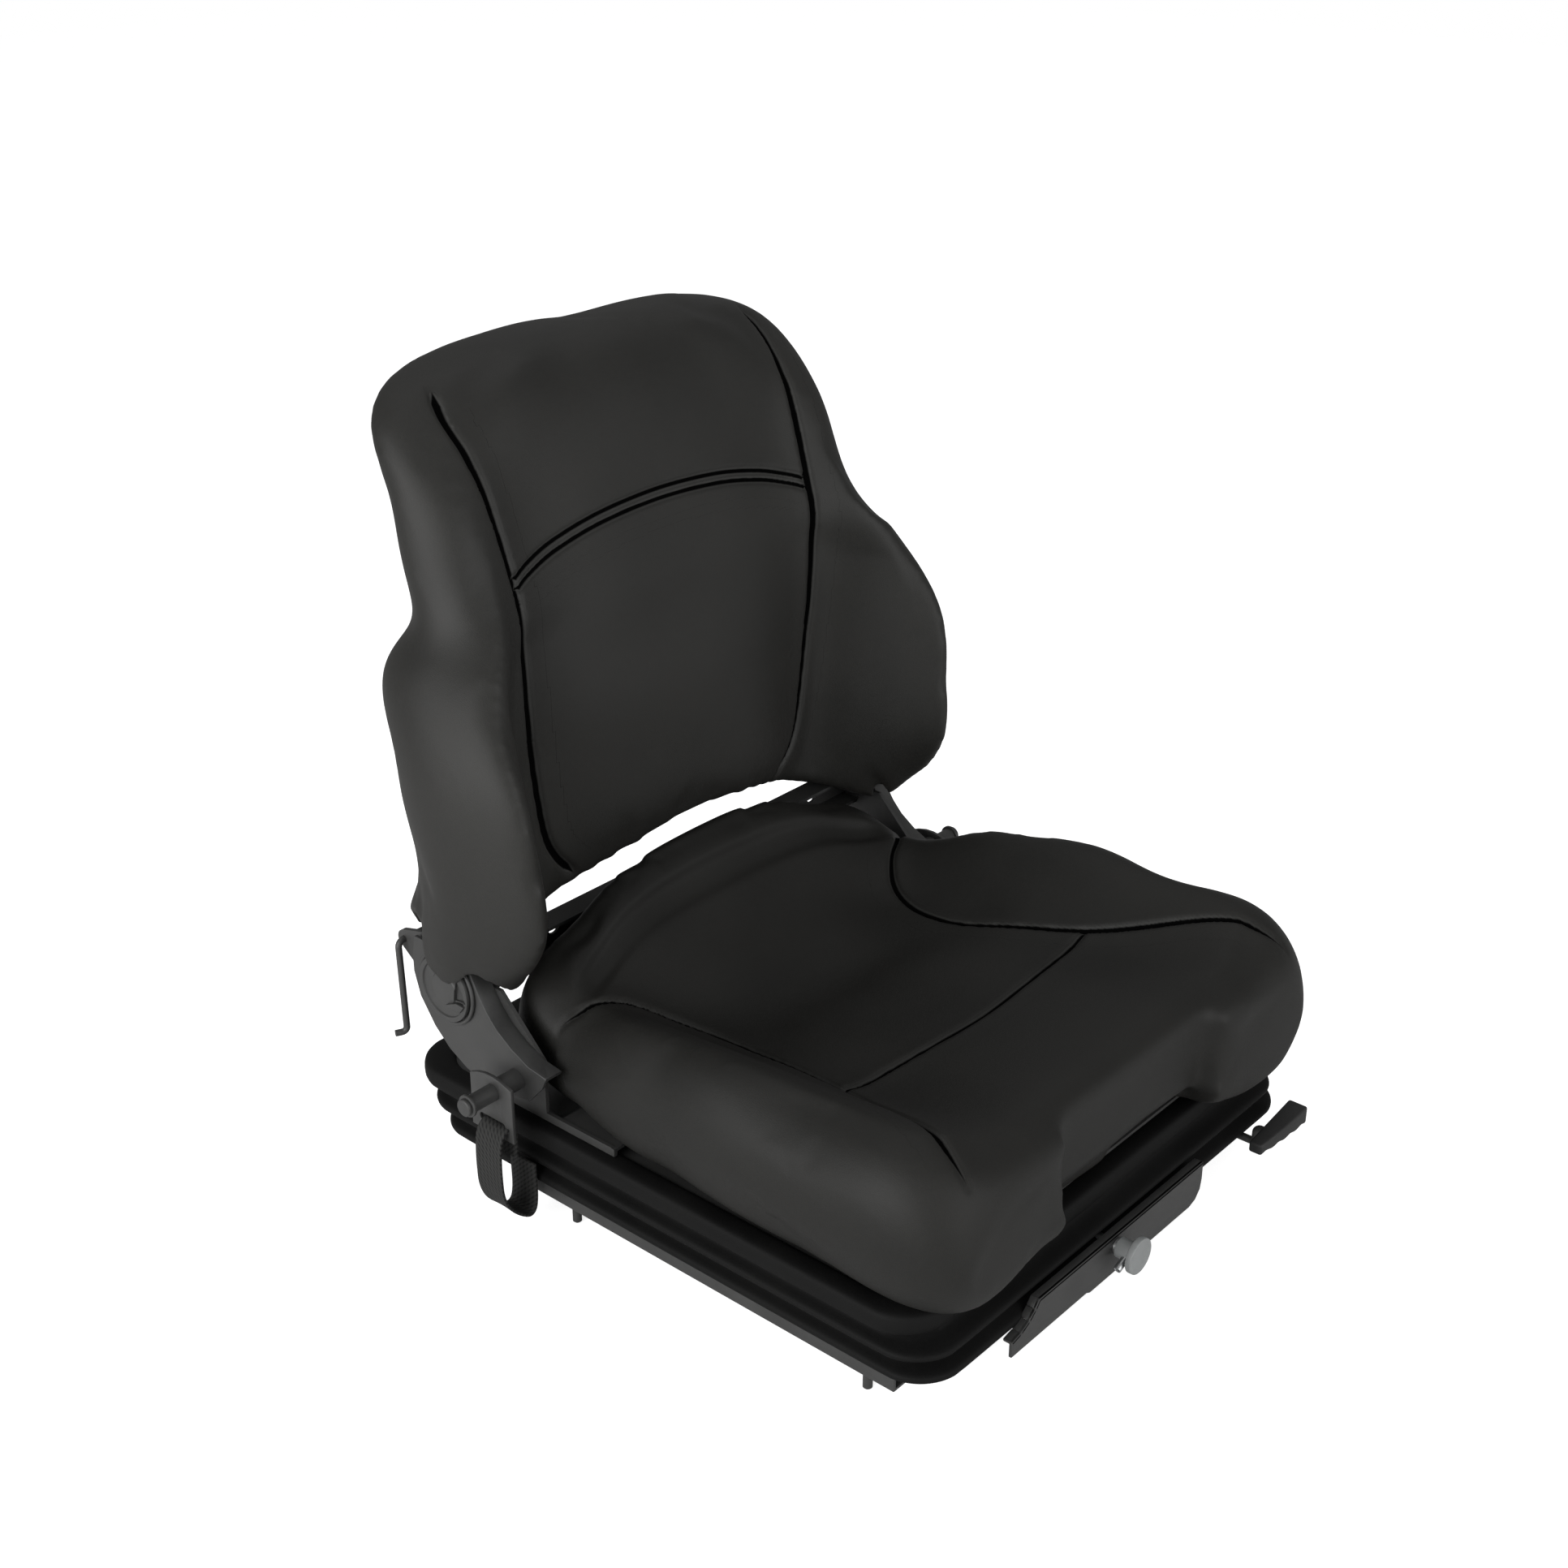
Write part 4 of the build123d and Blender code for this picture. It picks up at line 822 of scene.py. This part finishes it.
# Slide lever grip
grip = {"left": 139, "right": 200, "front": -220, "rear": -204, "low": 16, "leftHigh": 25, "rightHigh": 31,
        "scallops": 4, "scallopDepth": 0.0013, "rearScallop": 0.4, "frontBow": 0.004, "rearBow": 0.0015,
        "edge": 0.0026}
corners = [(grip["left"], grip["low"]), (grip["right"], grip["low"]), (grip["right"], grip["rightHigh"]),
           (grip["left"], grip["leftHigh"])]
handle = outline("leverGrip", [at(x, grip["front"], z) for x, z in corners],
                 at(0, grip["rear"], 0) - at(0, grip["front"], 0))
bpy.ops.object.mode_set(mode="EDIT")
selectWhere(handle, "edges", lambda e: abs(e.verts[0].co.x - e.verts[1].co.x) > 0.03)
bpy.ops.mesh.subdivide(number_cuts=31)
mesh = bmesh.from_edit_mesh(handle.data)
span = (grip["right"] - grip["left"]) / 1000
for v in mesh.verts:
    share = (v.co.x - grip["left"] / 1000) / span
    wave = 0.5 - 0.5 * math.cos(share * 2 * math.pi * grip["scallops"])
    frontFace = v.co.y < at(0, (grip["front"] + grip["rear"]) / 2, 0).y
    if v.co.z < (grip["low"] + 1) / 1000:
        v.co.z += grip["scallopDepth"] * wave * (1 if frontFace else grip["rearScallop"])
    if frontFace:
        v.co.y += grip["frontBow"] * (1 - share) ** 2
    else:
        v.co.y -= grip["rearBow"] * (1 - share)
bmesh.update_edit_mesh(handle.data)
bpy.ops.object.mode_set(mode="OBJECT")
softEdges(handle, grip["edge"], 4, 40)
finishHard(handle, blackPlastic, "black_plastic", "lever", "lever_grip")

# Weight knob
knob = {"x": -22, "z": 19, "face": -216, "thick": 5, "root": -198.7, "disc": 0.0135, "hub": 0.0075,
        "pinFrom": (-23.5, 18.4), "pinTo": (-37.5, 12.4), "pinBack": 9, "pin": 0.0028,
        "insets": [(0.003, -0.0012), (0.004, 0.0008)], "pinInsets": [(0.0010, 0), (0.0001, -0.003)]}
discBack = at(knob["x"], knob["face"] + knob["thick"], knob["z"])
disc = rod("weightKnob", at(knob["x"], knob["face"], knob["z"]), discBack, knob["disc"], 64)
insetSide(disc, lambda f: f.normal.y < -0.9, knob["insets"])
softEdges(disc, 0.0009, 3, 20)
hub = rod("knobHub", discBack, at(knob["x"], knob["root"], knob["z"]), knob["hub"])
softEdges(hub, 0.0005, 2, 30)
finishHard(joined("weightKnob", disc, hub), greyPlastic, "grey_plastic", "adjuster", "weight_knob")

# the crank pin behind the knob's disc: a short steel tube, open at its end
pinY = knob["face"] + knob["pinBack"]
pin = rod("knobPin", at(knob["pinFrom"][0], pinY, knob["pinFrom"][1]),
          at(knob["pinTo"][0], pinY, knob["pinTo"][1]), knob["pin"], 32)
insetSide(pin, lambda f: f.normal.x < -0.8, knob["pinInsets"])
softEdges(pin, 0.0003, 2, 40)
finishHard(pin, bright, "bright_steel", "adjuster")
print("lever grip and knob done")

# Front plate
plate = {
    "edge": [(-144, -2), (-56, -2), (-52, -4), (76, -4), (84, -1.5), (89.5, 5), (91, 13), (91, 28),
             (-114, 28), (-118.5, 22.5), (-125, 17), (-134, 12.6), (-144, 10.5)],
    "lipFrom": 7,   # the corner where the folded lip starts
    "face": -196, "sheet": 0.0025, "lip": 0.0076, "shelf": ((-112, -194, 10.7), (85, -143, 13.0)),
}
face = outline("frontPlate", [at(x, plate["face"], z) for x, z in plate["edge"]],
               Vector((0, plate["sheet"], 0)))
lips = []
for a, b in zip(plate["edge"][plate["lipFrom"]:-1], plate["edge"][plate["lipFrom"] + 1:]):
    inward = Vector((b[1] - a[1], 0, a[0] - b[0])).normalized() * -plate["sheet"]
    corners = [at(a[0], plate["face"], a[1]), at(b[0], plate["face"], b[1])]
    corners += [corners[1] + Vector((0, plate["lip"], 0)), corners[0] + Vector((0, plate["lip"], 0))]
    lips.append(outline("lip", corners, inward))
shelf = block("shelf", at(*plate["shelf"][0]), at(*plate["shelf"][1]))
face = joined("frontPlate", face, *lips, shelf)
softEdges(face, 0.0006, 2, 35)
finishHard(face, paint, "black_steel", "base", "front_plate")
print("front plate done")

# Recliner plates, both sides
recliner = {
    "front": [(145, 110.5), (163, 113), (180, 121), (194, 130.5), (203, 140), (212, 153.5), (219, 167),
              (222, 176)],
    "rest": [(278, 176), (281.5, 160), (281.5, 146), (276, 127), (262, 107), (247, 93.5), (230, 84.5),
             (212, 79), (164, 84), (150, 100)],
    "outer": -231, "sheet": 3, "foldDepth": 15, "foldThick": 2.6, "edge": 0.0011,
}
rim = [sidePoint(recliner["outer"], spot) for spot in recliner["front"] + recliner["rest"]]
plateRight = outline("reclinerPlateRight", rim, Vector((recliner["sheet"] / 1000, 0, 0)))
inner = []
for i, spot in enumerate(recliner["front"]):
    a = recliner["front"][max(i - 1, 0)]
    b = recliner["front"][min(i + 1, len(recliner["front"]) - 1)]
    run = np.array([b[0] - a[0], b[1] - a[1]], float)
    run /= np.linalg.norm(run)
    inner.append((spot[0] + run[1] * recliner["foldThick"], spot[1] - run[0] * recliner["foldThick"]))
fold = outline("fold", [sidePoint(recliner["outer"], spot) for spot in recliner["front"] + inner[::-1]],
               Vector((recliner["foldDepth"] / 1000, 0, 0)))
uniteWith(plateRight, fold)
softEdges(plateRight, recliner["edge"], 3, 38)
plateLeft = otherSide(plateRight, "reclinerPlateLeft")
finishHard(plateRight, paint, "black_steel", "upper", "recliner_plate_right")
finishHard(plateLeft, paint, "black_steel", "upper", "recliner_plate_left")

# Recliner housings: a stepped disc with a hooked tab beside a three-cornered opening
housing = {
    "centre": (244, 147), "radius": 0.0255, "outer": -236, "inner": -231.05,
    "insets": [(0.0035, 0), (0.0006, -0.0014), (0.0085, 0), (0.0008, 0.0008)],
    "opening": [(231, 159), (233.5, 141.5), (220, 143.5)], "openingFrom": -240, "openingDepth": 0.0075,
    "tab": [(241, 136), (229, 141.5), (221, 141), (226, 134.5)], "tabFrom": -237.6, "tabThick": 0.003,
}
disc = rod("reclinerDiscRight", sidePoint(housing["outer"], housing["centre"]),
           sidePoint(housing["inner"], housing["centre"]), housing["radius"], 72)
insetSide(disc, lambda f: f.normal.x < -0.9, housing["insets"])
hole = outline("opening", [sidePoint(housing["openingFrom"], spot) for spot in housing["opening"]],
               Vector((housing["openingDepth"], 0, 0)))
cutWith(disc, hole)
softEdges(disc, 0.0004, 2, 30)
tab = outline("tab", [sidePoint(housing["tabFrom"], spot) for spot in housing["tab"]],
              Vector((housing["tabThick"], 0, 0)))
softEdges(tab, 0.0006, 2, 30)
disc = joined("reclinerDiscRight", disc, tab)
discLeft = otherSide(disc, "reclinerDiscLeft")
finishHard(disc, paint, "black_steel", "upper", "recliner_disc_right")
finishHard(discLeft, paint, "black_steel", "upper", "recliner_disc_left")
print("recliners done")

# Belt anchors
anchor = {
    "edge": [(157, 62), (200, 62), (199.5, 105), (192, 108.3), (184, 110.3), (176, 110.6), (169, 109.6),
             (157, 106)],
    "outer": -253.5, "sheet": 0.003, "slot": (165.5, 191.5, 69.4, 75.2), "slotRound": 0.0024,
    "bolt": (176, 98), "boltHole": 0.0051, "cutFrom": -258, "cutTo": -246,
}
plateSide = outline("beltAnchorRight", [sidePoint(anchor["outer"], spot) for spot in anchor["edge"]],
                    Vector((anchor["sheet"], 0, 0)))
y0, y1, z0, z1 = anchor["slot"]
slotCut = block("slotCut", at(-256, y0, z0), at(-248, y1, z1))
softEdges(slotCut, anchor["slotRound"], 5, 30)
cutWith(plateSide, slotCut)
cutWith(plateSide, rod("boltHole", sidePoint(anchor["cutFrom"], anchor["bolt"]),
                       sidePoint(anchor["cutTo"], anchor["bolt"]), anchor["boltHole"]))
softEdges(plateSide, 0.0006, 2, 40)
anchorLeft = otherSide(plateSide, "beltAnchorLeft")
finishHard(plateSide, paint, "black_steel", "upper", "belt_anchor_right")
finishHard(anchorLeft, paint, "black_steel", "upper", "belt_anchor_left")

# Belt bolts: a round flanged head on a plain shank
bolt = {"shank": (275, 206, 0.005, 40), "head": (281, 277.6, 0.0066, 48),
        "flange": (277.7, 275, 0.0084, 48), "headRound": 0.0011, "flangeRound": 0.0006}
boltPieces = []
for side in (-1, 1):
    shank, head, flange = [rod(name, sidePoint(side * bolt[name][0], anchor["bolt"]),
                               sidePoint(side * bolt[name][1], anchor["bolt"]), *bolt[name][2:])
                           for name in ("shank", "head", "flange")]
    softEdges(head, bolt["headRound"], 3, 30)
    softEdges(flange, bolt["flangeRound"], 2, 30)
    boltPieces += [shank, head, flange]
finishHard(joined("beltBolts", *boltPieces), paint, "black_steel", "upper", "belt_bolts")
print("belt anchors done")

# Floor rails: a C section with rolled edges, open along its top
rail = {
    "middle": 206, "half": 16, "height": 12.7, "wall": 2.2, "slot": 6, "front": -160, "rear": 181,
    "holes": (-126, 147), "hole": 3.65, "edge": 0.0007,
}
h, w, t, gapHalf, top = rail["half"], rail["middle"], rail["wall"], rail["slot"], rail["height"]
section = [(w - h, 0), (w + h, 0), (w + h, top), (w + gapHalf, top), (w + gapHalf, top - t),
           (w + h - t, top - t), (w + h - t, t), (w - h + t, t), (w - h + t, top - t),
           (w - gapHalf, top - t), (w - gapHalf, top), (w - h, top)]
railLeft = outline("floorRailLeft", [at(x, rail["front"], z) for x, z in section],
                   Vector((0, (rail["rear"] - rail["front"]) / 1000, 0)))
for y in rail["holes"]:
    hole = block("hole", at(w - rail["hole"], y - rail["hole"], -1),
                 at(w + rail["hole"], y + rail["hole"], t + 1))
    cutWith(railLeft, hole)
softEdges(railLeft, rail["edge"], 3, 40)
railRight = otherSide(railLeft, "floorRailRight")
finishHard(railLeft, paint, "black_steel", "floor", "floor_rail_left")
finishHard(railRight, paint, "black_steel", "floor", "floor_rail_right")
print("floor rails done")

# Floor
ground = {"size": 14, "tone": (0.8, 0.8, 0.8, 1), "rough": 0.9, "specular": 0.1, "glow": 0.8}
bpy.ops.object.select_all(action="DESELECT")
bpy.ops.mesh.primitive_plane_add(size=ground["size"], location=(0, 0, cadBox[0][2]))
floor = bpy.context.object
floor.name = "floor"
bpy.ops.object.transform_apply(location=True)
floorMat, floorTree, floorShader = newMaterial("paleFloor")
floorShader.inputs["Base Color"].default_value = ground["tone"]
floorShader.inputs["Roughness"].default_value = ground["rough"]
floorShader.inputs["Specular IOR Level"].default_value = ground["specular"]
floorPath = floorTree.nodes.new("ShaderNodeLightPath")
floorGlow = floorTree.nodes.new("ShaderNodeMath")
floorGlow.operation = "MULTIPLY"
floorGlow.inputs[1].default_value = ground["glow"]   # so that the camera sees it white
floorTree.links.new(floorPath.outputs["Is Camera Ray"], floorGlow.inputs[0])
floorTree.links.new(floorGlow.outputs[0], floorShader.inputs["Emission Strength"])
floorShader.inputs["Emission Color"].default_value = (1, 1, 1, 1)
floor.data.materials.append(floorMat)
